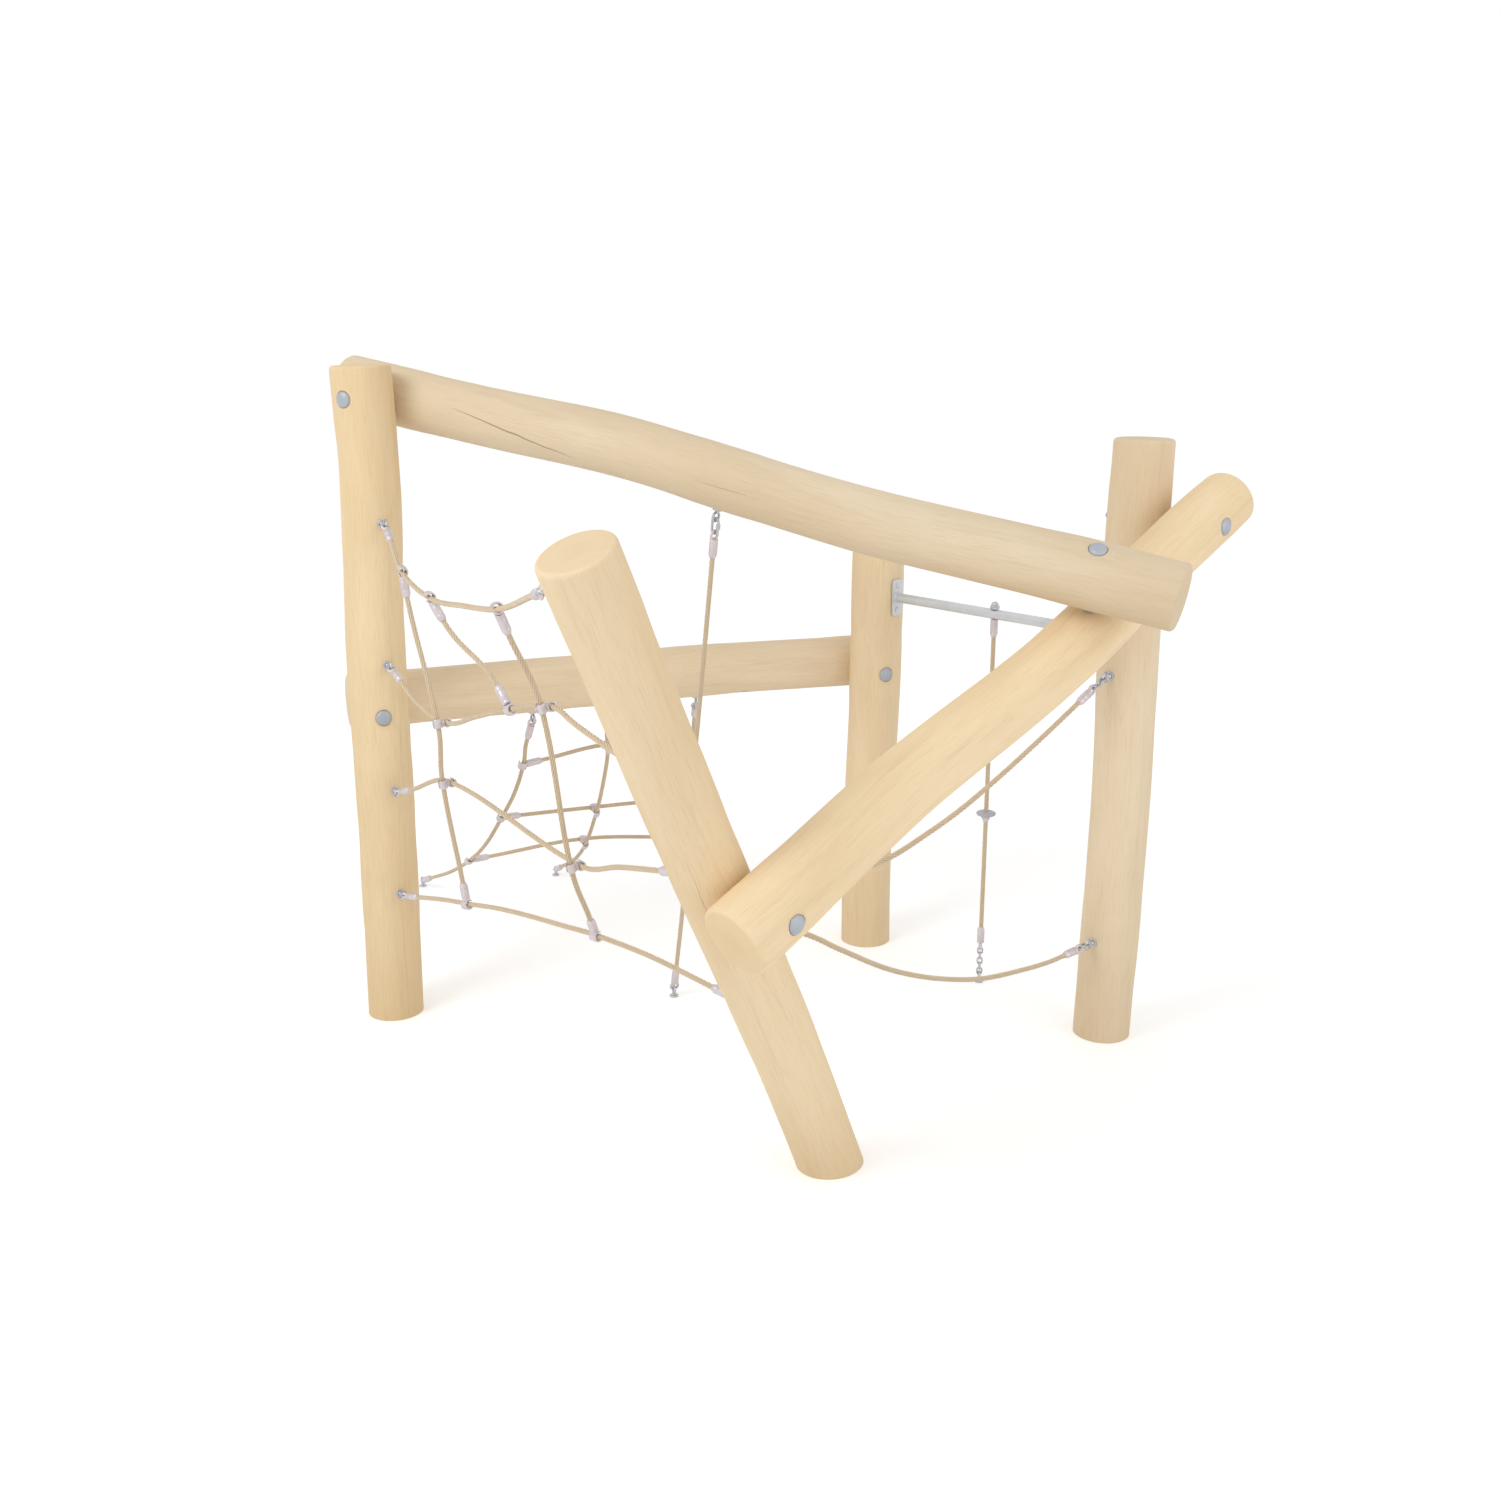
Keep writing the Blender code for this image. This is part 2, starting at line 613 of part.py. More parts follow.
BOLTS = [
    Bolt("bolt_top_left", "post_left", post_point("left", TOP_BEAM_HEIGHT), LOG_RADIUS,
         "beam_top", TOP_BEAM_LEFT, LOG_RADIUS),
    Bolt("bolt_rear_left", "post_left", post_point("left", REAR_BEAM_HEIGHT), LOG_RADIUS,
         "beam_rear", REAR_BEAM_LEFT, LOG_RADIUS),
    Bolt("bolt_rear_right", "post_rear", post_point("rear", REAR_BEAM_HEIGHT), LOG_RADIUS,
         "beam_rear", REAR_BEAM_REAR, LOG_RADIUS),
    Bolt("bolt_diagonal_low", "beam_diagonal", DIAGONAL_LOW, DIAGONAL_BUTT_RADIUS,
         "post_front", post_point("front", DIAGONAL_LOW_HEIGHT), LOG_RADIUS, eye_nut=True),
    Bolt("bolt_diagonal_high", "beam_diagonal", DIAGONAL_HIGH, DIAGONAL_TIP_RADIUS,
         "post_right", post_point("right", DIAGONAL_HIGH_HEIGHT), LOG_RADIUS,
         "spacer_right_post"),
    Bolt("bolt_top_right", "beam_top", TOP_BEAM_RIGHT, LOG_RADIUS,
         "beam_diagonal", TOP_BOLT_FOOT, diagonal_radius(TOP_BOLT_SHARE), "spacer_top_beam"),
]
LOW_BOLT = BOLTS[3]


# Eye bolts: a ring on a shank that is screwed into a log

class Tail:
    # The last wire of a run of links: where it lies, how thick it is and which way it runs
    def __init__(self, point, wire, across, run):
        self.point = point
        self.wire = wire
        self.across = across
        self.run = run


class Eye:
    def __init__(self, name, log, seat, out, towards, neck=EYE_NECK):
        self.name = name
        self.log = log
        self.seat = seat
        self.out = out
        self.centre = seat + out * (neck + EYE_RADIUS)
        self.run = (towards - self.centre).normalized()
        # The ring stands in the plane of its shank and of the rope that pulls on it
        straight = abs(self.out.dot(self.run)) > 0.99
        self.plane = X.copy() if straight else self.out.cross(self.run).normalized()

    def tail(self):
        point = self.centre + self.run * EYE_RADIUS
        return Tail(point, EYE_WIRE, self.plane.cross(self.run).normalized(), self.run)

    def ring(self):
        side = self.plane.cross(self.run).normalized()
        return oval_link(self.centre, self.run, side, EYE_RADIUS, EYE_RADIUS, EYE_WIRE, EYE_SIDES)

    def hole(self, solid):
        return drill(solid, self.seat + self.out * 0.03, self.seat - self.out * EYE_SHANK_DEPTH,
                     EYE_SHANK_RADIUS + CLEARANCE, STEM_SIDES)

    def build(self):
        foot = self.seat + self.out * CLEARANCE
        neck = EYE_NECK + EYE_WIRE * 0.4
        stem = turned([(-EYE_SHANK_DEPTH + 0.003, EYE_SHANK_RADIUS), (0, EYE_SHANK_RADIUS),
                       (0, EYE_COLLAR_RADIUS), (EYE_COLLAR_HEIGHT, EYE_COLLAR_RADIUS),
                       (neck, EYE_SHANK_RADIUS * 0.8)],
                      foot, self.out, STEM_SIDES)
        add_node(self.name, fuse(stem, self.ring()), STEEL, 0.35, 0.9, self.seat)


def log_eye(name, post, height, bearing, towards):
    # Eye bolt in a post, at a height and a compass bearing in degrees from +X towards +Y
    centre, run = point_at_height(POST_AXES[post], height)
    flat = Vector((cos(radians(bearing)), sin(radians(bearing)), 0))
    out = square_to(flat, run)
    return Eye(name, "post_" + post, centre + out * LOG_RADIUS, out, Vector(towards))


def beam_eye(name, beam, near, towards):
    # Eye bolt that hangs from the underside of a beam, over a point named by the rope
    centre, run = nearest_on(BEAM_AXES[beam], Vector(near))
    out = square_to(-Z, run)
    return Eye(name, "beam_" + beam, centre + out * LOG_RADIUS, out, Vector(towards))


class EyeNut(Eye):
    # Ring on a threaded boss that takes the place of a bolt's nut
    def __init__(self, name, bolt, towards):
        seat = bolt.nut_seat + bolt.run * (WASHER_THICKNESS + 2 * CLEARANCE)
        super().__init__(name, None, seat, bolt.run, Vector(towards), EYE_NUT_HEIGHT)

    def build(self):
        boss = turned([(0, NUT_RADIUS), (EYE_NUT_HEIGHT * 0.6, NUT_RADIUS),
                       (EYE_NUT_HEIGHT + EYE_WIRE * 0.4, EYE_SHANK_RADIUS)],
                      self.seat, self.out, BORE_SIDES)
        boss = drill(boss, self.seat - self.out * WASHER_THICKNESS,
                     self.seat + self.out * EYE_NUT_BORE, BOLT_RADIUS + CLEARANCE)
        add_node(self.name, fuse(boss, self.ring()), STEEL, 0.35, 0.9, self.seat)


class Anchor(Eye):
    # Ground anchor: the same ring on the collar that shows where its shank enters the ground
    def __init__(self, name, place, towards):
        seat = Vector((place[0], place[1], ANCHOR_THICKNESS))
        super().__init__(name, None, seat, Z.copy(), Vector(towards), ANCHOR_NECK)

    def build(self):
        neck = ANCHOR_NECK + EYE_WIRE * 0.4
        foot = turned([(-ANCHOR_THICKNESS, ANCHOR_RADIUS), (-ANCHOR_THICKNESS * 0.3, ANCHOR_RADIUS),
                       (0, ANCHOR_RADIUS * 0.85), (0, EYE_SHANK_RADIUS * 1.3),
                       (neck, EYE_SHANK_RADIUS)], self.seat, self.out, TURNED_SIDES)
        add_node(self.name, fuse(foot, self.ring()), STEEL, 0.4, 0.9,
                 self.seat - Z * ANCHOR_THICKNESS)


# Links between an eye and a rope

def next_link(tail, run, half_length, half_width, wire, gap=CLEARANCE):
    # Oval link that hangs in the last wire, turned a quarter round from it
    side = run.cross(square_to(tail.across, run)).normalized()
    near = tail.point - run * (tail.wire + wire + gap)
    centre = near + run * half_length
    solid = oval_link(centre, run, side, half_length, half_width, wire)
    return solid, Tail(centre + run * half_length, wire, side, run), centre


def chain(name, tail, run, count, gap=CLEARANCE):
    # Taut chain, its links pulled hard against each other
    links = []
    first = tail.point.copy()
    for _ in range(count):
        link, tail, _ = next_link(tail, run, CHAIN_HALF_LENGTH, CHAIN_HALF_WIDTH, CHAIN_WIRE, gap)
        links.append(link)
        gap = -CHAIN_FUSE
    add_node(name, fuse(*links), STEEL, 0.4, 0.9, first)
    return tail


def quick_link(name, tail, run, gap=CLEARANCE):
    # Oval link with the screwed sleeve that closes its side
    link, after, centre = next_link(tail, run, QUICK_LINK_HALF_LENGTH, QUICK_LINK_HALF_WIDTH,
                                    QUICK_LINK_WIRE, gap)
    sleeve = turned([(-QUICK_LINK_NUT_LENGTH / 2, QUICK_LINK_NUT_RADIUS),
                     (QUICK_LINK_NUT_LENGTH / 2, QUICK_LINK_NUT_RADIUS)],
                    centre + after.across * QUICK_LINK_HALF_WIDTH, run, 6)
    add_node(name, fuse(link, sleeve), STEEL, 0.35, 0.9, tail.point)
    return after


# Ropes: each is a tube with pressed ferrules, end loops and clamps fused on

def ferrule(start, run, length=FERRULE_LENGTH):
    return turned([(0, FERRULE_RADIUS), (length - FERRULE_NECK, FERRULE_RADIUS),
                   (length, ROPE_RADIUS * 1.12)], start, run, BORE_SIDES)


def leaving(start, run, length):
    # The rope starts inside its ferrule and comes straight out of it
    return [start + run * length * 0.5, start + run * (length + FERRULE_NECK)]


def loop_end(tail, towards, gap):
    # End loop that hangs in the last wire, with its ferrule; gives the rope's first point
    run = (Vector(towards) - tail.point).normalized()
    loop, after, _ = next_link(tail, run, LOOP_RADIUS, LOOP_RADIUS, LOOP_WIRE, gap)
    start = after.point - run * LOOP_WIRE * 0.4
    return [loop, ferrule(start, run)], leaving(start, run, FERRULE_LENGTH)


def clamp_end(route, near, towards, length=FERRULE_LENGTH):
    # T-clamp: a collar closed round another rope, with the ferrule of this rope on it, which
    # leans towards where its rope goes and still stands clear of the other rope
    spot, run_there = nearest_on(route, Vector(near))
    wanted = Vector(towards) - spot
    square = square_to(wanted, run_there)
    lean = min(square.angle(wanted), radians(FERRULE_LEAN))
    run = square * cos(lean) + run_there * copysign(sin(lean), wanted.dot(run_there))
    bore = ROPE_RADIUS + CLEARANCE
    reach = max(bore + CLAMP_WALL * 0.5, (bore + FERRULE_RADIUS * sin(lean)) / cos(lean))
    ring = collar(spot, run_there, bore, bore + CLAMP_WALL, CLAMP_WIDTH, CLAMP_SIDES)
    start = spot + run * reach
    return [ring, ferrule(start, run, length)], leaving(start, run, length)


class CrossClamp:
    # One collar round the other rope and one pressed on this rope, side by side
    def __init__(self, route, near, side):
        self.spot, self.run_there = nearest_on(route, Vector(near))
        self.own = self.spot + square_to(side, self.run_there) * CLAMP_SPACING

    def solids(self, own_run):
        bore = ROPE_RADIUS + CLEARANCE
        grip = ROPE_RADIUS + CLAMP_WALL
        half = CLAMP_WIDTH / 2
        ring = collar(self.spot, self.run_there, bore, bore + CLAMP_WALL, CLAMP_WIDTH,
                      CLAMP_SIDES)
        return [ring, turned([(-half, grip), (half, grip)], self.own, own_run, BORE_SIDES)]


def rope_tube(name, points, step, kept, sides):
    # Curve with a round bevel, read back as a mesh so that its fittings can be fused on
    curve = bpy.data.curves.new(name, "CURVE")
    curve.dimensions = "3D"
    curve.bevel_depth = ROPE_RADIUS
    curve.bevel_resolution = sides // 2 - 2
    curve.use_fill_caps = True
    spline = curve.splines.new("POLY")
    route = smooth_route(points, step, kept)
    spline.points.add(len(route) - 1)
    for slot, point in zip(spline.points, route):
        slot.co = (*point, 1.0)
    holder = bpy.data.objects.new(name, curve)
    bpy.context.scene.collection.objects.link(holder)
    shown = holder.evaluated_get(bpy.context.evaluated_depsgraph_get())
    solid = bmesh.new()
    solid.from_mesh(shown.to_mesh())
    shown.to_mesh_clear()
    bpy.data.objects.remove(holder)
    bpy.data.curves.remove(curve)
    bmesh.ops.remove_doubles(solid, verts=solid.verts, dist=0.00001)
    bmesh.ops.recalc_face_normals(solid, faces=solid.faces)
    return solid, route


class AtEye:
    # Rope end that hangs in an eye, a chain or a link
    def __init__(self, tail, gap=CLEARANCE):
        self.tail = tail
        self.gap = gap
        self.spot = tail.point

    def end(self, towards):
        return loop_end(self.tail, towards, self.gap)


class AtRope:
    # Rope end that is clamped round another rope
    def __init__(self, route, near, length=FERRULE_LENGTH):
        self.route = route
        self.length = length
        self.spot = nearest_on(route, Vector(near))[0]

    def end(self, towards):
        return clamp_end(self.route, self.spot, towards, self.length)


class Held:
    # Point of a rope where another rope's clamp grips it, so that it runs straight there. Where
    # the two cross, a side is given, and this rope lies half the clamp's width behind the place
    def __init__(self, place, side=None):
        self.own = Vector(place) - (side * (CLAMP_SPACING / 2) if side else Vector())


def lay_rope(name, first, last, via, step=ROPE_STEP, sides=NET_SIDES, extra=()):
    # A rope from one end fitting to the other, through free points, held points and cross clamps
    inner = [item.own if isinstance(item, (Held, CrossClamp)) else Vector(item) for item in via]
    fittings, start = first.end(inner[0] if inner else last.spot)
    end_fittings, finish = last.end(inner[-1] if inner else first.spot)
    fittings = fittings + end_fittings + list(extra)
    centres = start + inner + finish[::-1]
    items = [None] * len(start) + list(via) + [None] * len(finish)
    points = []
    kept = set()
    for k, (centre, item) in enumerate(zip(centres, items)):
        if isinstance(item, (Held, CrossClamp)):
            run = (centres[k + 1] - centres[k - 1]).normalized()
            kept.update((len(points), len(points) + 1))
            points += [centre - run * (HOLD_LENGTH / 2), centre + run * (HOLD_LENGTH / 2)]
        else:
            if item is None:
                kept.add(len(points))
            points.append(centre)
        if isinstance(item, CrossClamp):
            fittings += item.solids(run)
    solid, route = rope_tube(name, points, step, kept, sides)
    add_node(name, fuse(solid, *fittings), ROPE, 0.9, 0.0, route[0])
    return route


# Crossbar: a tube with a plate welded to each end, screwed to the rear and right posts

class Crossbar:
    def __init__(self):
        rear = post_point("rear", CROSSBAR_HEIGHT)
        right = post_point("right", CROSSBAR_HEIGHT)
        self.run = (right - rear).normalized()
        self.ends = [("post_rear", rear + self.run * (LOG_RADIUS + CLEARANCE), self.run),
                     ("post_right", right - self.run * (LOG_RADIUS + CLEARANCE), -self.run)]
        self.start = self.ends[0][1]
        self.finish = self.ends[1][1]

    def at(self, share):
        return self.start.lerp(self.finish, share)

    def screw_seats(self, face, out):
        for side in (-0.5, 0.5):
            yield face + Z * (side * PLATE_SCREW_SPACING) + out * PLATE_THICKNESS

    def holes(self, solid, log):
        for name, face, out in self.ends:
            if name == log:
                for seat in self.screw_seats(face, out):
                    solid = drill(solid, seat, seat - out * (PLATE_THICKNESS + SCREW_DEPTH),
                                  SCREW_RADIUS + CLEARANCE)
        return solid

    def build(self):
        length = (self.finish - self.start).length
        weld = PLATE_THICKNESS * 0.5
        solid = turned([(weld, BAR_RADIUS), (length - weld, BAR_RADIUS)], self.start, self.run)
        for _, face, out in self.ends:
            side = Z.cross(out).normalized()
            plate = box(face + out * (PLATE_THICKNESS / 2), out, side, Z,
                        (PLATE_THICKNESS, PLATE_WIDTH, PLATE_HEIGHT))
            edges = [e for e in plate.edges
                     if abs((e.verts[0].co - e.verts[1].co).normalized().dot(out)) > 0.9]
            bmesh.ops.bevel(plate, geom=edges, offset=PLATE_WIDTH * 0.22, segments=2,
                            affect="EDGES", profile=0.5)
            solid = boolean(solid, plate, "UNION")
            for seat in self.screw_seats(face, out):
                screw = turned([(-PLATE_THICKNESS - SCREW_DEPTH + 0.003, SCREW_RADIUS),
                                (-0.001, SCREW_RADIUS), (-0.001, SCREW_HEAD_RADIUS),
                                (0.002, SCREW_HEAD_RADIUS), (0.005, SCREW_HEAD_RADIUS * 0.55)],
                               seat, out, BORE_SIDES)
                solid = boolean(solid, screw, "UNION")
        middle = self.at(DISC_ROPE_SHARE)
        solid = drill(solid, middle + Z * BAR_RADIUS * 2, middle - Z * BAR_RADIUS * 2,
                      STUD_RADIUS + CLEARANCE)
        add_node("crossbar", solid, STEEL, 0.3, 0.9, self.start)


CROSSBAR = Crossbar()
HANGER = CROSSBAR.at(DISC_ROPE_SHARE)


# Places of the eye bolts and the ground anchors

NET_OUT = Vector((-0.63, -0.78, 0)).normalized()      # the near net faces this way
REAR_OUT = Vector((-0.30, 0.55, 0.78)).normalized()   # and the sloping rear net this way

EYES = {
    "left_1": log_eye("eye_left_1", "left", 1.674, -56.7, (-1.086, -0.179, 1.556)),
    "left_2": log_eye("eye_left_2", "left", 1.225, -56.7, (-1.080, -0.135, 1.154)),
    "left_3": log_eye("eye_left_3", "left", 0.809, -56.7, (-0.974, -0.241, 0.920)),
    "left_4": log_eye("eye_left_4", "left", 0.455, -56.7, (-1.021, -0.142, 0.502)),
    "front_1": log_eye("eye_front_1", "front", FRONT_EYE_HEIGHT, 160.0, (-0.683, -0.922, 1.577)),
    "front_2": log_eye("eye_front_2", "front", 1.225, 125.8, (-0.495, -0.943, 1.286)),
    "front_3": EyeNut("eye_front_3", LOW_BOLT, (-0.391, -0.925, 0.895)),
    "front_4": log_eye("eye_front_4", "front", 0.545, 136.5, (-0.328, -0.773, 0.573)),
    "front_5": log_eye("eye_front_5", "front", 0.852, 42.9, (0.114, -0.983, 0.858)),
    "front_6": log_eye("eye_front_6", "front", 0.735, 42.9, (0.095, -0.993, 0.738)),
    "right_1": log_eye("eye_right_1", "right", 1.225, -137.1, (0.913, -0.241, 1.155)),
    "right_2": log_eye("eye_right_2", "right", 0.342, -137.1, (0.916, -0.238, 0.338)),
    "middle": beam_eye("eye_top_beam", "top", (-0.128, -0.205, 1.84), (-0.182, -0.112, 1.399)),
    "rear_1": beam_eye("eye_rear_1", "rear", (-0.816, 0.494, 1.05), (-0.838, 0.523, 0.834)),
    "rear_2": beam_eye("eye_rear_2", "rear", (-0.540, 0.599, 1.05), (-0.570, 0.656, 0.844)),
    "rear_3": beam_eye("eye_rear_3", "rear", (-0.251, 0.710, 1.05), (-0.259, 0.780, 0.853)),
}


def rear_anchor(count):
    # Place of a rear anchor, counted from the middle one
    return (REAR_ANCHOR_X + count * ANCHOR_SPACING_X, REAR_ANCHOR_Y + count * ANCHOR_SPACING_Y)


ANCHORS = {
    "rear_1": Anchor("anchor_rear_1", rear_anchor(-1), (-1.260, 1.104, 0.144)),
    "rear_2": Anchor("anchor_rear_2", rear_anchor(0), (-0.776, 1.210, 0.155)),
    "rear_3": Anchor("anchor_rear_3", rear_anchor(1), (-0.314, 1.335, 0.160)),
    "middle": Anchor("anchor_middle", (MIDDLE_ANCHOR_X, MIDDLE_ANCHOR_Y), (-0.277, 0.129, 0.380)),
    "disc": Anchor("anchor_disc", (HANGER.x, HANGER.y), (HANGER.x, HANGER.y, 1.0)),
}


# Assembly

def build_logs():
    logs = {"post_" + name: log_solid(axis, LOG_RADIUS, LOG_RADIUS)
            for name, axis in POST_AXES.items()}
    logs["beam_rear"] = log_solid(REAR_BEAM, LOG_RADIUS, LOG_RADIUS)
    logs["beam_top"] = log_solid(TOP_BEAM, LOG_RADIUS, LOG_RADIUS)
    logs["beam_diagonal"] = log_solid(DIAGONAL, DIAGONAL_START_RADIUS, DIAGONAL_END_RADIUS)
    seats = [("beam_rear", "left"), ("beam_rear", "rear"), ("beam_top", "left"),
             ("beam_diagonal", "front")]
    for beam, post in seats:
        scribe = log_solid(POST_AXES[post], LOG_RADIUS, LOG_RADIUS, CLEARANCE)
        logs[beam] = boolean(logs[beam], scribe, "DIFFERENCE")
    for name, solid in logs.items():
        if name.startswith("post_"):
            solid = ground_cut(solid)
        for bolt in BOLTS:
            if name in (bolt.head_log, bolt.nut_log):
                solid = bolt.holes(solid, name)
        for eye in EYES.values():
            if eye.log == name:
                solid = eye.hole(solid)
        solid = CROSSBAR.holes(solid, name)
        place = post_point(name[5:], 0) if name.startswith("post_") else BEAM_ORIGINS[name]
        add_node(name, solid, WOOD, 0.65, 0.0, place)


def build_near_net():
    near = {}

    def horizontal(name, left, right, points):
        near[name] = lay_rope("net_" + name, AtEye(EYES[left].tail()), AtEye(EYES[right].tail()),
                              points)

    horizontal("top", "left_1", "front_1",
               [Held((-1.086, -0.179, 1.556)), Held((-0.957, -0.417, 1.519)),
                (-0.814, -0.681, 1.543), Held((-0.683, -0.922, 1.577))])
    horizontal("row_1", "left_2", "front_2",
               [(-1.080, -0.135, 1.154), Held((-0.969, -0.289, 1.121), NET_OUT), (-0.835, -0.473, 1.186),
                Held((-0.705, -0.652, 1.254)), Held((-0.584, -0.820, 1.300), NET_OUT),
                (-0.495, -0.943, 1.286)])
    horizontal("row_2", "left_3", "front_3",
               [Held((-0.974, -0.241, 0.920), NET_OUT), Held((-0.528, -0.764, 0.840), NET_OUT),
                (-0.391, -0.925, 0.895)])
    horizontal("bottom", "left_4", "front_4",
               [(-1.021, -0.142, 0.503), Held((-0.936, -0.219, 0.520)), (-0.815, -0.330, 0.546),
                (-0.709, -0.426, 0.560), (-0.592, -0.533, 0.571), Held((-0.492, -0.624, 0.580)),
                (-0.328, -0.773, 0.579)])

    def crossing(row, spot):
        return CrossClamp(near[row], spot, NET_OUT)

    lay_rope("net_column_1", AtRope(near["top"], (-1.086, -0.179, 1.556)),
             AtRope(near["bottom"], (-0.936, -0.219, 0.519)),
             [crossing("row_1", (-0.969, -0.289, 1.121)), crossing("row_2", (-0.974, -0.241, 0.920))])
    lay_rope("net_column_2", AtRope(near["top"], (-0.957, -0.417, 1.513)),
             AtRope(near["row_1"], (-0.705, -0.652, 1.254)), [])
    lay_rope("net_column_3", AtRope(near["top"], (-0.683, -0.922, 1.577)),
             AtRope(near["bottom"], (-0.492, -0.624, 0.574)),
             [crossing("row_1", (-0.584, -0.820, 1.300)), crossing("row_2", (-0.528, -0.764, 0.840))])


def build_rear_net():
    columns = []
    via = [
        [(-0.845, 0.523, 0.834), Held((-0.859, 0.535, 0.757)), (-0.898, 0.585, 0.647),
         Held((-0.969, 0.684, 0.512)), (-1.052, 0.800, 0.371), Held((-1.147, 0.948, 0.250)),
         (-1.260, 1.104, 0.144)],
        [(-0.570, 0.656, 0.844), Held((-0.574, 0.684, 0.781), REAR_OUT), (-0.593, 0.740, 0.645),
         Held((-0.642, 0.858, 0.484), REAR_OUT), Held((-0.707, 1.021, 0.300), REAR_OUT),
         (-0.776, 1.210, 0.155)],
        [(-0.259, 0.780, 0.853), Held((-0.262, 0.819, 0.780)), (-0.269, 0.900, 0.645),
         Held((-0.281, 1.008, 0.490)), Held((-0.296, 1.165, 0.275)), (-0.314, 1.335, 0.160)],
    ]
    for k, points in enumerate(via, 1):
        name = "rear_%d" % k
        columns.append(lay_rope("rear_net_column_%d" % k, AtEye(EYES[name].tail()),
                                AtEye(ANCHORS[name].tail()), points))
    rows = [
        ((-0.859, 0.535, 0.757), (-0.574, 0.684, 0.781), (-0.262, 0.819, 0.780)),
        ((-0.969, 0.684, 0.512), (-0.642, 0.858, 0.484), (-0.281, 1.008, 0.490)),
        ((-1.147, 0.948, 0.250), (-0.707, 1.021, 0.300), (-0.296, 1.165, 0.275)),
    ]
    for k, (first, middle, last) in enumerate(rows, 1):
        lay_rope("rear_net_row_%d" % k, AtRope(columns[0], first), AtRope(columns[2], last),
                 [CrossClamp(columns[1], middle, REAR_OUT)])


def pivot(name, place):
    # Empty on a joint's axis, which the moving pieces hang from
    empty = bpy.data.objects.new(name, None)
    empty.location = place
    empty.empty_display_size = 0.05
    bpy.context.scene.collection.objects.link(empty)
    return empty


def hang_on(empty, names):
    bpy.context.view_layer.update()
    for name in names:
        piece = bpy.data.objects[name]
        place = piece.matrix_world.copy()
        piece.parent = empty
        piece.matrix_parent_inverse = Matrix.Translation(-empty.location)
        piece.matrix_world = place


def build_slack_ropes():
    # Two slack ropes from the leaning front post to the right post; each swings about the line
    # through the two eyes that hold it
    upper_points = [(0.114, -0.983, 0.858), (0.256, -0.850, 0.863), (0.343, -0.769, 0.874),
                    (0.430, -0.689, 0.901), (0.526, -0.600, 0.936), (0.638, -0.496, 0.990),
                    (0.785, -0.360, 1.072), (0.913, -0.241, 1.148)]
    lower_points = [(0.095, -0.993, 0.734), (0.189, -0.906, 0.655), (0.341, -0.767, 0.535),
                    (0.504, -0.616, 0.441), (0.630, -0.501, 0.390), (0.773, -0.369, 0.358),
                    (0.916, -0.238, 0.342)]
    start = EYES["front_5"].tail()
    hook = EYES["right_1"].tail()
    run = (Vector(upper_points[-1]) - hook.point).normalized()
    after = chain("slack_upper_chain", hook, run, 3, SWING_GAP)
    lay_rope("slack_rope_upper", AtEye(start, SWING_GAP), AtEye(after), upper_points, CORD_STEP,
             CORD_SIDES)
    hang_on(pivot("slack_upper_pivot", start.point), ["slack_rope_upper", "slack_upper_chain"])
    start = EYES["front_6"].tail()
    hook = EYES["right_2"].tail()
    run = (Vector(lower_points[-1]) - hook.point).normalized()
    after = quick_link("slack_lower_link", hook, run, SWING_GAP)
    lay_rope("slack_rope_lower", AtEye(start, SWING_GAP), AtEye(after), lower_points, CORD_STEP,
             CORD_SIDES)
    hang_on(pivot("slack_lower_pivot", start.point), ["slack_rope_lower", "slack_lower_link"])


def build_middle_rope():
    hook = EYES["middle"].tail()
    after = quick_link("middle_rope_link", hook,
                       (Vector((-0.182, -0.112, 1.399)) - hook.point).normalized())
    lay_rope("middle_rope", AtEye(after), AtEye(ANCHORS["middle"].tail()),
             [(-0.182, -0.112, 1.399), (-0.208, -0.047, 1.133), (-0.246, 0.045, 0.750),
              (-0.277, 0.129, 0.380)], sides=CORD_SIDES)


class AtBar:
    # Upper end of the disc rope: a stud through the bar on the end of the ferrule
    def __init__(self):
        self.spot = HANGER - Z * BAR_RADIUS

    def end(self, towards):
        top = HANGER + Z * (BAR_RADIUS + STUD_NUT_LENGTH * 0.55)
        shoulder = (top - HANGER).length + BAR_RADIUS + CLEARANCE
        fitting = turned([(0, STUD_RADIUS), (shoulder, STUD_RADIUS), (shoulder, FERRULE_RADIUS),
                          (shoulder + FERRULE_LENGTH - FERRULE_NECK, FERRULE_RADIUS),
                          (shoulder + FERRULE_LENGTH, ROPE_RADIUS * 1.12)],
                         top, -Z, BORE_SIDES)
        return [fitting], leaving(top - Z * shoulder, -Z, FERRULE_LENGTH)


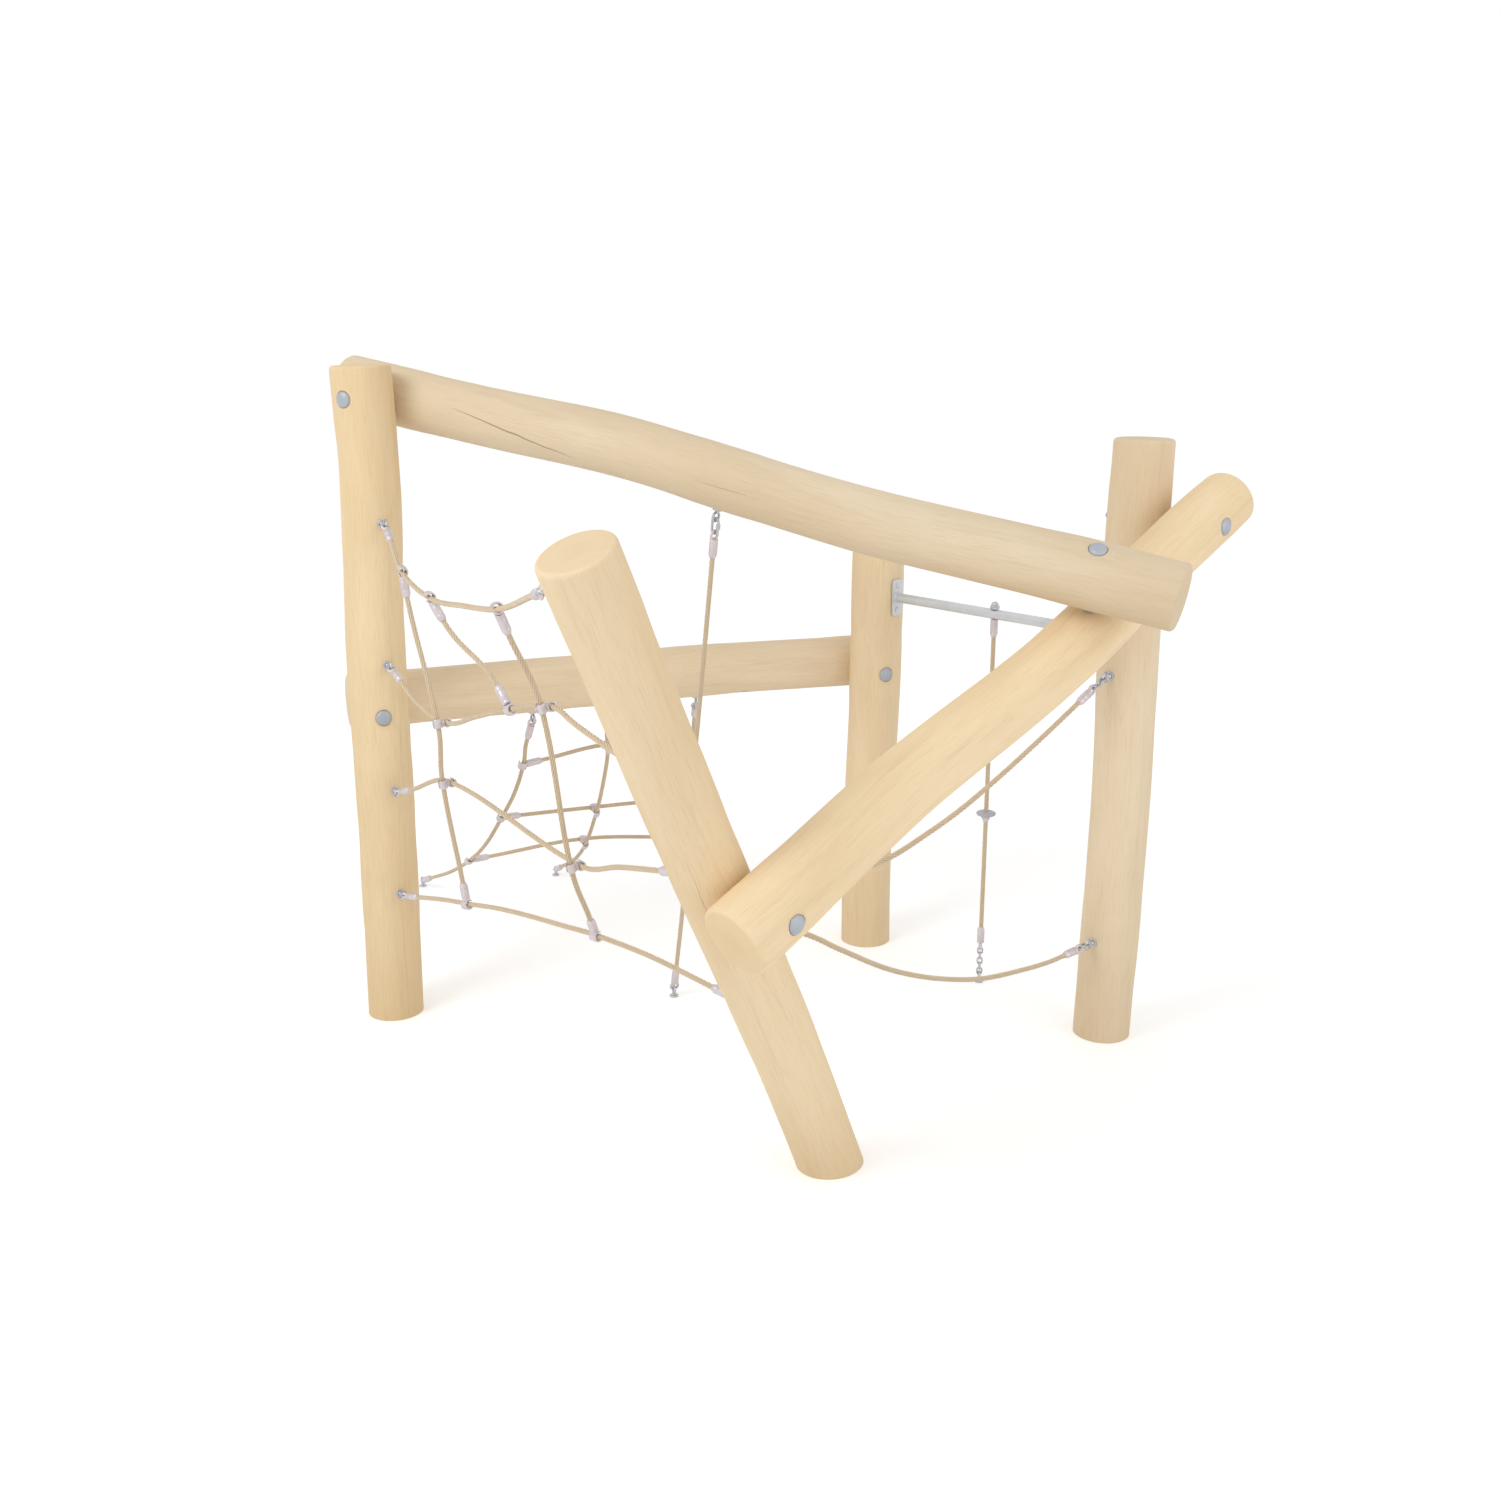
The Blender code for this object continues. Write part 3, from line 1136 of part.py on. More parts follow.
def build_disc_rope():
    after = chain("disc_rope_chain", ANCHORS["disc"].tail(), Z.copy(), 5)
    under = Vector((HANGER.x, HANGER.y, DISC_HEIGHT - DISC_THICKNESS / 2 - CLEARANCE))
    stop = turned([(0, DISC_COLLAR_RADIUS), (DISC_COLLAR_LENGTH * 0.5, DISC_COLLAR_RADIUS * 0.85),
                   (DISC_COLLAR_LENGTH, ROPE_RADIUS * 1.12)], under, -Z, BORE_SIDES)
    lay_rope("disc_rope", AtBar(), AtEye(after), [under + Z * 0.3, under - Z * 0.2],
             sides=CORD_SIDES, extra=[stop])
    nut_seat = HANGER + Z * (BAR_RADIUS + CLEARANCE)
    nut = turned([(0, STUD_NUT_RADIUS * 0.82), (STUD_NUT_LENGTH * 0.22, STUD_NUT_RADIUS),
                  (STUD_NUT_LENGTH * 0.60, STUD_NUT_RADIUS * 0.97),
                  (STUD_NUT_LENGTH * 0.86, STUD_NUT_RADIUS * 0.64),
                  (STUD_NUT_LENGTH, STUD_NUT_RADIUS * 0.25)], nut_seat, Z)
    nut = drill(nut, nut_seat - Z * 0.005, nut_seat + Z * (STUD_NUT_LENGTH * 0.62),
                STUD_RADIUS + CLEARANCE)
    add_node("stud_nut", nut, STEEL, 0.35, 0.9, nut_seat)
    centre = Vector((HANGER.x, HANGER.y, DISC_HEIGHT))
    half = DISC_THICKNESS / 2
    bore = ROPE_RADIUS + CLEARANCE
    disc = ring_section(centre, Z, [(-half, bore), (-half, DISC_RADIUS * 0.62),
                                    (-half * 0.45, DISC_RADIUS), (half * 0.45, DISC_RADIUS),
                                    (half, DISC_RADIUS * 0.62), (half, bore)], TURNED_SIDES)
    add_node("foot_disc", disc, PLASTIC, 0.5, 0.0, centre)
    hang_on(pivot("foot_disc_pivot", centre), ["foot_disc"])


def report_counts():
    total = 0
    for piece in bpy.context.scene.objects:
        if piece.type == "MESH":
            count = sum(len(face.vertices) - 2 for face in piece.data.polygons)
            total += count
    print("pieces:", sum(1 for piece in bpy.context.scene.objects if piece.type == "MESH"))
    print("triangles:", total)


def main():
    clear_scene()
    build_logs()
    for bolt in BOLTS:
        bolt.build()
    CROSSBAR.build()
    for eye in list(EYES.values()) + list(ANCHORS.values()):
        eye.build()
    build_near_net()
    build_rear_net()
    build_slack_ropes()
    build_middle_rope()
    build_disc_rope()
    report_counts()


main()
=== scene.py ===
from collections import namedtuple
from math import copysign, cos, pi, radians, sin

import bmesh
import bpy
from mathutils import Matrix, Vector, noise


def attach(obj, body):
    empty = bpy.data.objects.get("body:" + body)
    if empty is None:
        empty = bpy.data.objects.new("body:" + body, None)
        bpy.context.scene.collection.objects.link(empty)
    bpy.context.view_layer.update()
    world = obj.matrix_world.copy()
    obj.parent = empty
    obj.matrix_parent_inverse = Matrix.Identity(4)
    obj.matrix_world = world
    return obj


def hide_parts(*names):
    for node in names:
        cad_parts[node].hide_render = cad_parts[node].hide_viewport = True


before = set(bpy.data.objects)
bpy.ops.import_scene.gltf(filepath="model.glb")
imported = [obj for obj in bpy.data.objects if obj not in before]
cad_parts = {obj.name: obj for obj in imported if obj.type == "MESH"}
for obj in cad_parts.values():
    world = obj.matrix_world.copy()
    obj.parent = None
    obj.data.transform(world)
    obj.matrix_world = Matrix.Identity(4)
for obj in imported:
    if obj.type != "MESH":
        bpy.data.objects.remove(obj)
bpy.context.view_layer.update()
print("frame loaded:", len(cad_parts), "nodes")

xAxis = Vector((1, 0, 0))
yAxis = Vector((0, 1, 0))
zAxis = Vector((0, 0, 1))


def addObject(name, data):
    made = bpy.data.objects.new(name, data)
    bpy.context.scene.collection.objects.link(made)
    return made


# Camera, light and floor

view = {"place": (-0.051, -4.691, 2.25), "pitchDown": 15.4, "focalPixels": 1525, "framePixels": 1500,
        "sensorWidth": 36, "farthest": 200}

studio = {
    "skyStrength": 0.74,
    "keyLamp": {"place": (-4.2, -3.6, 5.2), "size": 3.2, "power": 125},
    "fillLamp": {"place": (4.5, -4.0, 2.6), "size": 4.0, "power": 50},
    "lampTarget": (0, 0, 0.9),
    "floorSize": 60.0,
    "floorDrop": 0.0005,
    "floorWhite": 0.93,
    "glowNear": 0.26,      # white that the camera sees on top of the floor's own light, at the feet
    "glowFar": 0.32,       # and far behind, where the lamps reach less
    "glowFrom": 1.6,
    "glowTo": 4.2,
}


def setCamera():
    lens = bpy.data.cameras.new("pictureCamera")
    lens.sensor_width = view["sensorWidth"]
    lens.lens = view["focalPixels"] * view["sensorWidth"] / view["framePixels"]
    lens.clip_end = view["farthest"]
    camera = addObject("pictureCamera", lens)
    camera.location = view["place"]
    camera.rotation_euler = (radians(90 - view["pitchDown"]), 0, 0)
    bpy.context.scene.camera = camera


def addLamp(name):
    values = studio[name]
    lamp = bpy.data.lights.new(name, "AREA")
    lamp.shape = "DISK"
    lamp.size = values["size"]
    lamp.energy = values["power"]
    holder = addObject(name, lamp)
    holder.location = values["place"]
    aim = Vector(studio["lampTarget"]) - Vector(values["place"])
    holder.rotation_euler = aim.to_track_quat("-Z", "Y").to_euler()


# Shader sockets that take Python's arithmetic

class Signal:
    def __init__(self, shader, socket):
        self.shader = shader
        self.socket = socket

    def __add__(self, other):
        return self.shader.math("ADD", self, other)

    def __radd__(self, other):
        return self.shader.math("ADD", other, self)

    def __sub__(self, other):
        return self.shader.math("SUBTRACT", self, other)

    def __rsub__(self, other):
        return self.shader.math("SUBTRACT", other, self)

    def __mul__(self, other):
        return self.shader.math("MULTIPLY", self, other)

    def __rmul__(self, other):
        return self.shader.math("MULTIPLY", other, self)

    def __truediv__(self, other):
        return self.shader.math("DIVIDE", self, other)

    def __pow__(self, other):
        return self.shader.math("POWER", self, other)


class Shader:
    def __init__(self, name, store=bpy.data.materials, surface="Principled BSDF"):
        self.made = store.new(name)
        self.made.use_nodes = True
        self.tree = self.made.node_tree
        self.surface = self.tree.nodes[surface]

    def feed(self, node, inputs):
        for key, value in inputs.items():
            if isinstance(value, Signal):
                self.tree.links.new(value.socket, node.inputs[key])
            else:
                node.inputs[key].default_value = value

    def add(self, kind, settings=None, inputs=None, output=0):
        # any node: its settings first, then the values or links of its sockets
        node = self.tree.nodes.new(kind)
        for key, value in (settings or {}).items():
            setattr(node, key, value)
        self.feed(node, inputs or {})
        return Signal(self, node.outputs[output])

    def finish(self, tone, roughness, bump, specular=0.5, metallic=0.0, sheen=0.0):
        # bump is the height signal, how deep its full step goes and how much of that shows
        relief = dict(zip(("Height", "Distance", "Strength"), bump))
        self.feed(self.surface, {"Base Color": tone, "Roughness": roughness, "Specular IOR Level": specular,
                                 "Metallic": metallic, "Sheen Weight": sheen,
                                 "Normal": self.add("ShaderNodeBump", {}, relief)})
        return self.made

    def math(self, operation, *values):
        return self.add("ShaderNodeMath", {"operation": operation}, dict(enumerate(values)))

    def vector(self, operation, *values, output=0):
        # output 1 is the number that a length or a dot product gives
        return self.add("ShaderNodeVectorMath", {"operation": operation}, dict(enumerate(values)), output)

    def stored(self, name, output):
        # what the mesh holds under that name: output 1 is a vector, 2 a number
        return self.add("ShaderNodeAttribute", {"attribute_name": name}, output=output)

    def axes(self, vector):
        parts = self.add("ShaderNodeSeparateXYZ", {}, {0: vector}).socket.node
        return [Signal(self, output) for output in parts.outputs]

    def noise(self, vector, scale, detail, roughness=0.5, distortion=0.0):
        inputs = {"Vector": vector, "Scale": scale, "Detail": detail, "Roughness": roughness,
                  "Distortion": distortion}
        return self.add("ShaderNodeTexNoise", {}, inputs)

    def stretch(self, vector, scale, offset=(0, 0, 0)):
        return self.vector("ADD", self.vector("MULTIPLY", vector, scale), offset)

    def between(self, value, low, high):
        # smooth step from 0 at low to 1 at high
        return self.add("ShaderNodeMapRange", {"interpolation_type": "SMOOTHSTEP"},
                        {"Value": value, "From Min": low, "From Max": high})

    def mix(self, share, first, second):
        return self.add("ShaderNodeMix", {"data_type": "RGBA"}, {0: share, 6: first, 7: second}, 2)

    def seen(self):
        # 1 where the camera looks, straight or by way of a mirror or glass, and 0 for the light that falls
        path = self.add("ShaderNodeLightPath").socket.node
        camera, shiny, through = [Signal(self, path.outputs["Is %s Ray" % kind])
                                  for kind in ("Camera", "Glossy", "Transmission")]
        return self.math("MINIMUM", camera + shiny + through, 1.0)


def colour(red, green, blue):
    # a colour as the eye reads it, 0 to 255, turned into Blender's linear values
    return tuple((c / 255 / 12.92 if c < 10.3 else ((c / 255 + 0.055) / 1.055) ** 2.4)
                 for c in (red, green, blue)) + (1.0,)


def white(level):
    return (level, level, level, 1.0)


def buildStudio():
    setCamera()
    bpy.context.scene.view_settings.view_transform = "Standard"
    sky = Shader("studioSky", bpy.data.worlds, "Background")
    bpy.context.scene.world = sky.made
    levels = {"Value": sky.seen(), "To Min": studio["skyStrength"], "To Max": 1.0}
    strength = sky.add("ShaderNodeMapRange", {}, levels)
    sky.feed(sky.surface, {"Color": white(1), "Strength": strength})
    addLamp("keyLamp")
    addLamp("fillLamp")

    shader = Shader("studioFloor")
    shader.feed(shader.surface, {"Base Color": white(studio["floorWhite"]), "Roughness": 0.95,
                                 "Specular IOR Level": 0.1})
    away = shader.vector("LENGTH", shader.add("ShaderNodeTexCoord", output=3), output=1)
    glow = shader.mix(shader.between(away, studio["glowFrom"], studio["glowTo"]),
                      white(studio["glowNear"]), white(studio["glowFar"]))
    glow = shader.add("ShaderNodeEmission", {}, {"Color": glow, "Strength": shader.seen()})
    both = shader.add("ShaderNodeAddShader", {}, {0: Signal(shader, shader.surface.outputs[0]), 1: glow})
    shader.feed(shader.tree.nodes["Material Output"], {"Surface": both})
    half = studio["floorSize"] / 2
    sheet = bpy.data.meshes.new("studioFloor")
    sheet.from_pydata([(-half, -half, 0), (half, -half, 0), (half, half, 0), (-half, half, 0)], [],
                      [(0, 1, 2, 3)])
    sheet.materials.append(shader.made)
    floor = addObject("studioFloor", sheet)
    floor.location.z = -studio["floorDrop"]


buildStudio()
print("studio ready")


# Finishes

woodTone = {
    "pale": (240, 221, 186),
    "body": (230, 208, 170),
    "dark": (204, 176, 136),
    "end": (228, 206, 169),
    "knot": (176, 142, 102),
    "rings": (208, 180, 140),
    "check": (146, 114, 78),
}

woodMarks = {              # how strongly each mark shows, 0 to 1, and its size
    "grainStretch": 34.0,
    "figure": 0.26,
    "fibre": 0.30,
    "sawnEnd": 0.65,
    "rings": 0.14,
    "ringTurns": 1150.0,
    "heart": 0.10,
    "knot": 0.70,
    "halo": 0.20,
    "swirl": 0.14,
    "check": 0.62,
    # painted shade near a post's foot: its least and its most strength
    "damp": (0.12, 0.30),
    "groundShadeHeight": 0.45,    # how far up a post the painted shade near the ground reaches
    "relief": 0.0016,
}

logLook = {                # how light, how much yellower than the rest, and knots: height, bearing and size
    "left": (0.980, 0.034, [(0.62, 1.9, 0.016), (1.38, 1.1, 0.012), (1.86, 2.4, 0.014)]),
    "front": (0.995, 0.010, [(0.55, 2.2, 0.014), (1.32, 1.0, 0.017)]),
    "right": (0.990, -0.028, [(0.52, 1.8, 0.015), (1.36, 1.2, 0.012)]),
    "rear": (1.005, 0.007, [(0.72, -1.5, 0.014), (1.22, 1.0, 0.012)]),
    "rearBeam": (1.000, -0.024, [(0.55, -1.3, 0.013), (1.40, -2.0, 0.015)]),
    "diagonal": (1.012, 0.018, [(0.10, 2.6, 0.018), (0.86, 2.9, 0.014), (1.52, 2.4, 0.012)]),
    "topBeam": (0.962, -0.028, [(0.96, 0.4, 0.013), (1.55, -0.3, 0.012), (2.20, 0.8, 0.013)]),
}

dryingChecks = {           # from and to along the log, which way round, width, slant
    "topBeam": [(0.44, 0.92, 2.98, 0.0030, 0.16), (1.30, 1.52, 3.35, 0.0010, 0.0)],
    "front": [(1.02, 1.30, -1.75, 0.0009, 0.0)],
    "diagonal": [(0.95, 1.25, 2.75, 0.0010, 0.0)],
}

logStock = {
    "radius": 0.0945,
    "skin": 0.0935,        # the round that the facets of the solids stand for
    "rim": 0.012,
    "rimSteps": 5,
    "spare": 0.08,         # how far a post's line goes on below the ground
    "routeStep": 0.36,
    "fineStep": 0.01,
    "sides": 64,
    "step": 0.020,
    "swell": 0.0020,       # how much the thickness wanders, always inwards
    "drift": 0.0009,       # how much the middle wanders
    "calmNear": 0.05,      # round a fitting the log keeps its true size
    "calmFar": 0.17,
    "spotLong": 0.06,
}


def woodFinish(name, seed, damp):
    # peeled log: the logSpace attribute holds each point in the straightened log, metres along Z
    marks = woodMarks
    shader = Shader(name + "Wood")
    space = shader.stored("logSpace", 1)
    facing = shader.stored("endGrain", 2)
    alongX, alongY, along = shader.axes(space)
    shift = (seed * 3.7, seed * 1.9, seed * 5.3)

    def grain(wide, long, *settings):
        return shader.noise(shader.stretch(space, (wide, wide, long), shift), 1.0, *settings)

    def outwards(angle):
        return shader.vector("DOT_PRODUCT", space, (cos(angle), sin(angle), 0), output=1)

    slow = grain(5, 1.4, 2.0)
    figure = grain(30, 30 / marks["grainStretch"] * 2.2, 4.0, 0.62, 0.8)
    fibre = grain(420, 420 / marks["grainStretch"], 3.0, 0.6)
    wobble = grain(14, 2, 2.0)
    light, warm, knots = logLook[name]
    tint = (light * (1.008 + warm * 0.4), light, light * (1 - warm))
    pale, body, dark, end = [colour(*(c * t for c, t in zip(woodTone[key], tint)))
                             for key in ("pale", "body", "dark", "end")]
    rings = colour(*woodTone["rings"])
    tone = shader.mix(shader.between(slow, 0.30, 0.72), body, pale)
    tone = shader.mix(shader.between(figure, 0.48, 0.80) * marks["figure"], tone, dark)
    tone = shader.mix(shader.between(fibre, 0.45, 0.75) * marks["fibre"], tone, dark)
    # growth rings show on the sawn ends, where the surface faces along the log
    reach = shader.math("SQRT", alongX * alongX + alongY * alongY) + wobble * 0.012
    ring = shader.between(shader.math("SINE", reach * marks["ringTurns"]), 0.1, 0.95)
    ring = ring * facing * marks["rings"]
    heart = (1.0 - shader.between(reach, 0.030, 0.056)) * facing * marks["heart"]
    tone = shader.mix(facing * marks["sawnEnd"], tone, end)
    tone = shader.mix(ring, tone, rings)
    tone = shader.mix(heart, tone, rings)
    # painted shade: a post is painted darker towards its foot, where the floor shades it
    if damp:
        low = 1.0 - shader.between(along, logStock["spare"], logStock["spare"] + marks["groundShadeHeight"])
        least, more = marks["damp"]
        tone = shader.mix(low * (least + more * slow), tone, dark)
    height = figure * 0.5 + fibre * 0.6 - ring * 0.6
    for start, finish, angle, width, slant in dryingChecks.get(name, ()):
        # a thin dark line along the grain that fades out at both ends
        aside = outwards(angle + pi / 2) - (along - start) * slant + (grain(3, 9, 3.0) - 0.5) * 0.012
        half = (finish - start) / 2
        taper = 1.0 - shader.math("ABSOLUTE", (along - (start + half)) / half)
        gape = shader.math("MAXIMUM", taper, 0.0) ** 0.5 * width
        line = shader.between(gape - shader.math("ABSOLUTE", aside), 0.0, width * 0.6)
        line = line * shader.between(outwards(angle), 0.0, 0.03)
        tone = shader.mix(line * marks["check"], tone, colour(*woodTone["check"]))
        height = height - line * 4.0
    for distanceUp, angle, size in knots:
        place = (logStock["radius"] * cos(angle), logStock["radius"] * sin(angle), distanceUp)
        away = shader.stretch(shader.vector("SUBTRACT", space, place), (1.0, 1.0, 0.55))
        distance = shader.vector("LENGTH", away, output=1) + (wobble - 0.5) * size * 1.3
        knot = 1.0 - shader.between(distance, size * 0.25, size * 0.55)
        halo = 1.0 - shader.between(distance, size * 0.5, size * 1.6)
        swirl = shader.between(shader.math("SINE", distance * (38.0 / size)), 0.2, 1.0)
        tone = shader.mix(halo * marks["halo"] + halo * swirl * marks["swirl"], tone, dark)
        tone = shader.mix(knot * marks["knot"], tone, colour(*woodTone["knot"]))
        height = height - knot * 1.2 + halo * 0.6
    return shader.finish(tone, 0.62 + fibre * 0.18, (height, marks["relief"], 0.55), 0.28)


def metalFinish(name, tint, roughness, metallic, grain, depth=0.00012):
    # dull bare metal: tumbled grain, faint stains and handling marks
    shader = Shader(name)
    space = shader.add("ShaderNodeTexCoord", output=3)
    fine = shader.noise(space, grain * 6, 4.0, 0.6)
    stain = shader.noise(space, grain * 0.35, 3.0, 0.55, 0.4)
    worn = shader.add("ShaderNodeTexVoronoi", {}, {"Vector": space, "Scale": grain * 2.2})
    shade = shader.between(stain, 0.35, 0.72) * 0.5 + shader.between(fine, 0.4, 0.8) * 0.25
    darker = tuple(c * 0.78 for c in tint[:3]) + (1.0,)
    rough = roughness + (stain - 0.5) * 0.16 + (fine - 0.5) * 0.10
    return shader.finish(shader.mix(shade, tint, darker), rough, (fine * 0.6 + worn * 0.5, depth, 0.7),
                         metallic=metallic)


def ropeFinish(name):
    # each strand has its own tone and is spun from fine yarns, which the bump shows
    shader = Shader(name)
    lay = shader.stored("strandSpace", 1)
    grooveShade = shader.stored("strandGrooveShade", 2)
    fibre = shader.noise(shader.stretch(lay, (900, 900, 60)), 1.0, 3.0, 0.6)
    slow = shader.noise(shader.stretch(lay, (60, 60, 9)), 1.0, 2.0)
    across, _, along = shader.axes(lay)
    yarn = shader.math("SINE", across * 5200.0 + along * 1500.0)
    tone = shader.mix(shader.between(slow, 0.3, 0.7), colour(240, 220, 190), colour(231, 209, 176))
    tone = shader.mix(shader.between(fibre, 0.4, 0.8) * 0.5, tone, colour(248, 232, 206))
    tone = shader.mix(shader.between(yarn, -0.2, 0.9) * 0.14, tone, colour(204, 180, 148))
    # painted shade in the grooves between the strands and on their flanks
    tone = shader.mix(grooveShade * 0.36, tone, colour(180, 154, 122))
    return shader.finish(tone, 0.86, (yarn * 0.6 + fibre * 0.8, 0.0005, 0.6), 0.2, sheen=0.25)


def plasticFinish(name):
    shader = Shader(name)
    space = shader.add("ShaderNodeTexCoord", output=3)
    fine = shader.noise(space, 900.0, 2.0)
    slow = shader.noise(space, 60.0, 2.0)
    tone = shader.mix(shader.between(slow, 0.35, 0.7) * 0.4, colour(184, 183, 191), colour(168, 167, 177))
    return shader.finish(tone, 0.46 + (fine - 0.5) * 0.12, (fine, 0.00012, 0.5), 0.4)


finishes = {
    "bolt": metalFinish("zincedBolt", colour(178, 184, 192), 0.52, 0.35, 70.0),
    "eye": metalFinish("forgedEye", colour(196, 198, 204), 0.36, 0.85, 110.0),
    "cast": metalFinish("castFitting", colour(216, 207, 210), 0.42, 0.45, 60.0, 0.0002),
    "bar": metalFinish("galvanisedBar", colour(214, 216, 219), 0.40, 0.55, 30.0),
    "rope": ropeFinish("laidRope"),
    "disc": plasticFinish("discPlastic"),
}
print("finishes ready")


# Curves through space

def smoothRoute(points, step, kept=()):
    # the same smooth curve that the solids follow, read at about equal steps
    points = [Vector(p) for p in points]
    spans = [(q - p).length for p, q in zip(points, points[1:])]
    runs = [(q - p) / span for p, q, span in zip(points, points[1:], spans)]
    slopes = [runs[0]]
    for i in range(1, len(runs)):
        slopes.append((runs[i - 1] * spans[i] + runs[i] * spans[i - 1]) / (spans[i - 1] + spans[i]))
    slopes.append(runs[-1])
    fine, lengths, fineSteps = [points[0]], [0.0], 32
    for i, span in enumerate(spans):
        for k in range(1, fineSteps + 1):
            t = k / fineSteps
            fine.append(points[i] * (1 + 2 * t) * (1 - t) ** 2 + slopes[i] * span * t * (1 - t) ** 2
                        + points[i + 1] * t * t * (3 - 2 * t) - slopes[i + 1] * span * t * t * (1 - t))
            lengths.append(lengths[-1] + (fine[-1] - fine[-2]).length)
    stops = sorted({0, len(spans), *kept})
    route, j = [points[0]], 0
    for first, last in zip(stops, stops[1:]):
        low = lengths[first * fineSteps]
        reach = lengths[last * fineSteps] - low
        count = max(1, round(reach / step))
        for k in range(1, count + 1):
            want = low + reach * k / count
            while j < len(fine) - 2 and lengths[j + 1] < want:
                j += 1
            share = (want - lengths[j]) / (lengths[j + 1] - lengths[j])
            route.append(fine[j].lerp(fine[j + 1], min(1.0, share)))
    return route


def routeLength(route):
    return sum((q - p).length for p, q in zip(route, route[1:]))


# each of the next three gives a point of a route and the way that the route runs there

def pointAlong(route, share):
    want = routeLength(route) * share
    for p, q in zip(route, route[1:]):
        span = (q - p).length
        if want <= span:
            return p.lerp(q, want / span), (q - p).normalized()
        want -= span
    return route[-1].copy(), (route[-1] - route[-2]).normalized()


def pointAtHeight(route, height):
    for p, q in zip(route, route[1:]):
        if min(p.z, q.z) <= height <= max(p.z, q.z):
            return p.lerp(q, (height - p.z) / (q.z - p.z)), (q - p).normalized()
    raise ValueError("the log does not reach that height")


def nearestOn(route, target):
    best = None
    for p, q in zip(route, route[1:]):
        run = q - p
        share = min(1.0, max(0.0, (target - p).dot(run) / run.length_squared))
        spot = p + run * share
        gap = (target - spot).length
        if best is None or gap < best[0]:
            best = (gap, spot, run.normalized())
    return best[1:]


def squareTo(vector, axis):
    return (vector - axis * vector.dot(axis)).normalized()


def anySide(axis):
    return squareTo(xAxis if abs(axis.x) < 0.8 else yAxis, axis)


def spoke(across, up, angle):
    return across * cos(angle) + up * sin(angle)


def framesAlong(route, across=None):
    # (point, across, up) at each point of a route, turned as little as possible; a way across is given
    # for a closed ring
    count = len(route)
    closed = across is not None
    frames = []
    for i, point in enumerate(route):
        before, after = (i - 1, (i + 1) % count) if closed else (max(i - 1, 0), min(i + 1, count - 1))
        run = (route[after] - route[before]).normalized()
        across = anySide(run) if across is None else squareTo(across, run)
        frames.append((point, across, run.cross(across)))
    return frames


# A piece collects closed shells, then becomes an object

def smooth(mesh, sharp=42):
    mesh.shade_smooth()
    mesh.set_sharp_from_angle(angle=radians(sharp))


class Piece:
    def __init__(self, node):
        first, *rest = node.split("_")
        self.node = node
        self.name = first + "".join(part.capitalize() for part in rest)
        self.points = []
        self.faces = []
        self.extras = {}

    def shell(self, rings, closed=False):
        # rings of equal count joined into a skin, with a flat cap at each open end
        start, wide, count = len(self.points), len(rings[0]), len(rings)
        for ring in rings:
            self.points.extend(ring)
        for k in range(count if closed else count - 1):
            low, high = start + k * wide, start + (k + 1) % count * wide
            self.faces.extend((low + n, low + (n + 1) % wide, high + (n + 1) % wide, high + n)
                              for n in range(wide))
        if not closed:
            end = start + (count - 1) * wide
            self.faces.append(tuple(range(start, start + wide))[::-1])
            self.faces.append(tuple(range(end, end + wide)))

    def turned(self, profile, base, axis, sides=40, tall=1, wide=1, hollow=False):
        # revolves (height, radius) pairs: a plain solid, or a ring of that section round a bore
        across = anySide(axis)
        up = axis.cross(across)
        rings = [[base + axis * (height * tall) + spoke(across, up, 2 * pi * k / sides) * (radius * wide)
                  for k in range(sides)] for height, radius in profile]
        self.shell(list(zip(*rings)) if hollow else rings, hollow)

    def ring(self, centre, run, side, halfLength, halfWidth, wire, sides=20, steps=12):
        # stadium-shaped link of round wire, or a round eye where both halves are equal
        straight = halfLength - halfWidth
        route = []
        for turn, end in ((-0.5 * pi, 1), (0.5 * pi, -1)):
            for k in range(steps + 1):
                angle = turn + pi * k / steps
                route.append(centre + run * (end * straight + cos(angle) * halfWidth)
                             + side * sin(angle) * halfWidth)
        if straight < 1e-6:
            route = [p for k, p in enumerate(route) if k not in (steps, 2 * steps + 1)]
        self.shell([[point + spoke(across, up, 2 * pi * k / sides) * wire for k in range(sides)]
                    for point, across, up in framesAlong(route, run.cross(side))], True)

    def mesh(self, ground=False):
        made = bpy.data.meshes.new(self.name)
        made.from_pydata([tuple(p) for p in self.points], [], self.faces)
        for key, values in self.extras.items():
            isVector = isinstance(values[0], tuple)
            layer = made.attributes.new(key, "FLOAT_VECTOR" if isVector else "FLOAT", "POINT")
            layer.data.foreach_set("vector" if isVector else "value",
                                   [c for v in values for c in v] if isVector else values)
        skin = bmesh.new()
        skin.from_mesh(made)
        if ground:
            cut = bmesh.ops.bisect_plane(skin, geom=skin.verts[:] + skin.edges[:] + skin.faces[:],
                                         plane_co=(0, 0, 0), plane_no=zAxis, clear_inner=True)
            rim = [e for e in cut["geom_cut"] if isinstance(e, bmesh.types.BMEdge)]
            bmesh.ops.contextual_create(skin, geom=rim)
        bmesh.ops.recalc_face_normals(skin, faces=skin.faces)
        skin.to_mesh(made)
        skin.free()
        return made

    def build(self, finish, body="frame", slot="steel", sharp=42, ground=False, added=False):
        # added: a piece of the picture only, which stands for no node of its own
        mesh = self.mesh(ground)
        mesh.materials.append(finish)
        smooth(mesh, sharp)
        made = addObject(self.name, mesh)
        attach(made, body)
        if not added:
            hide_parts(self.node)
        return made


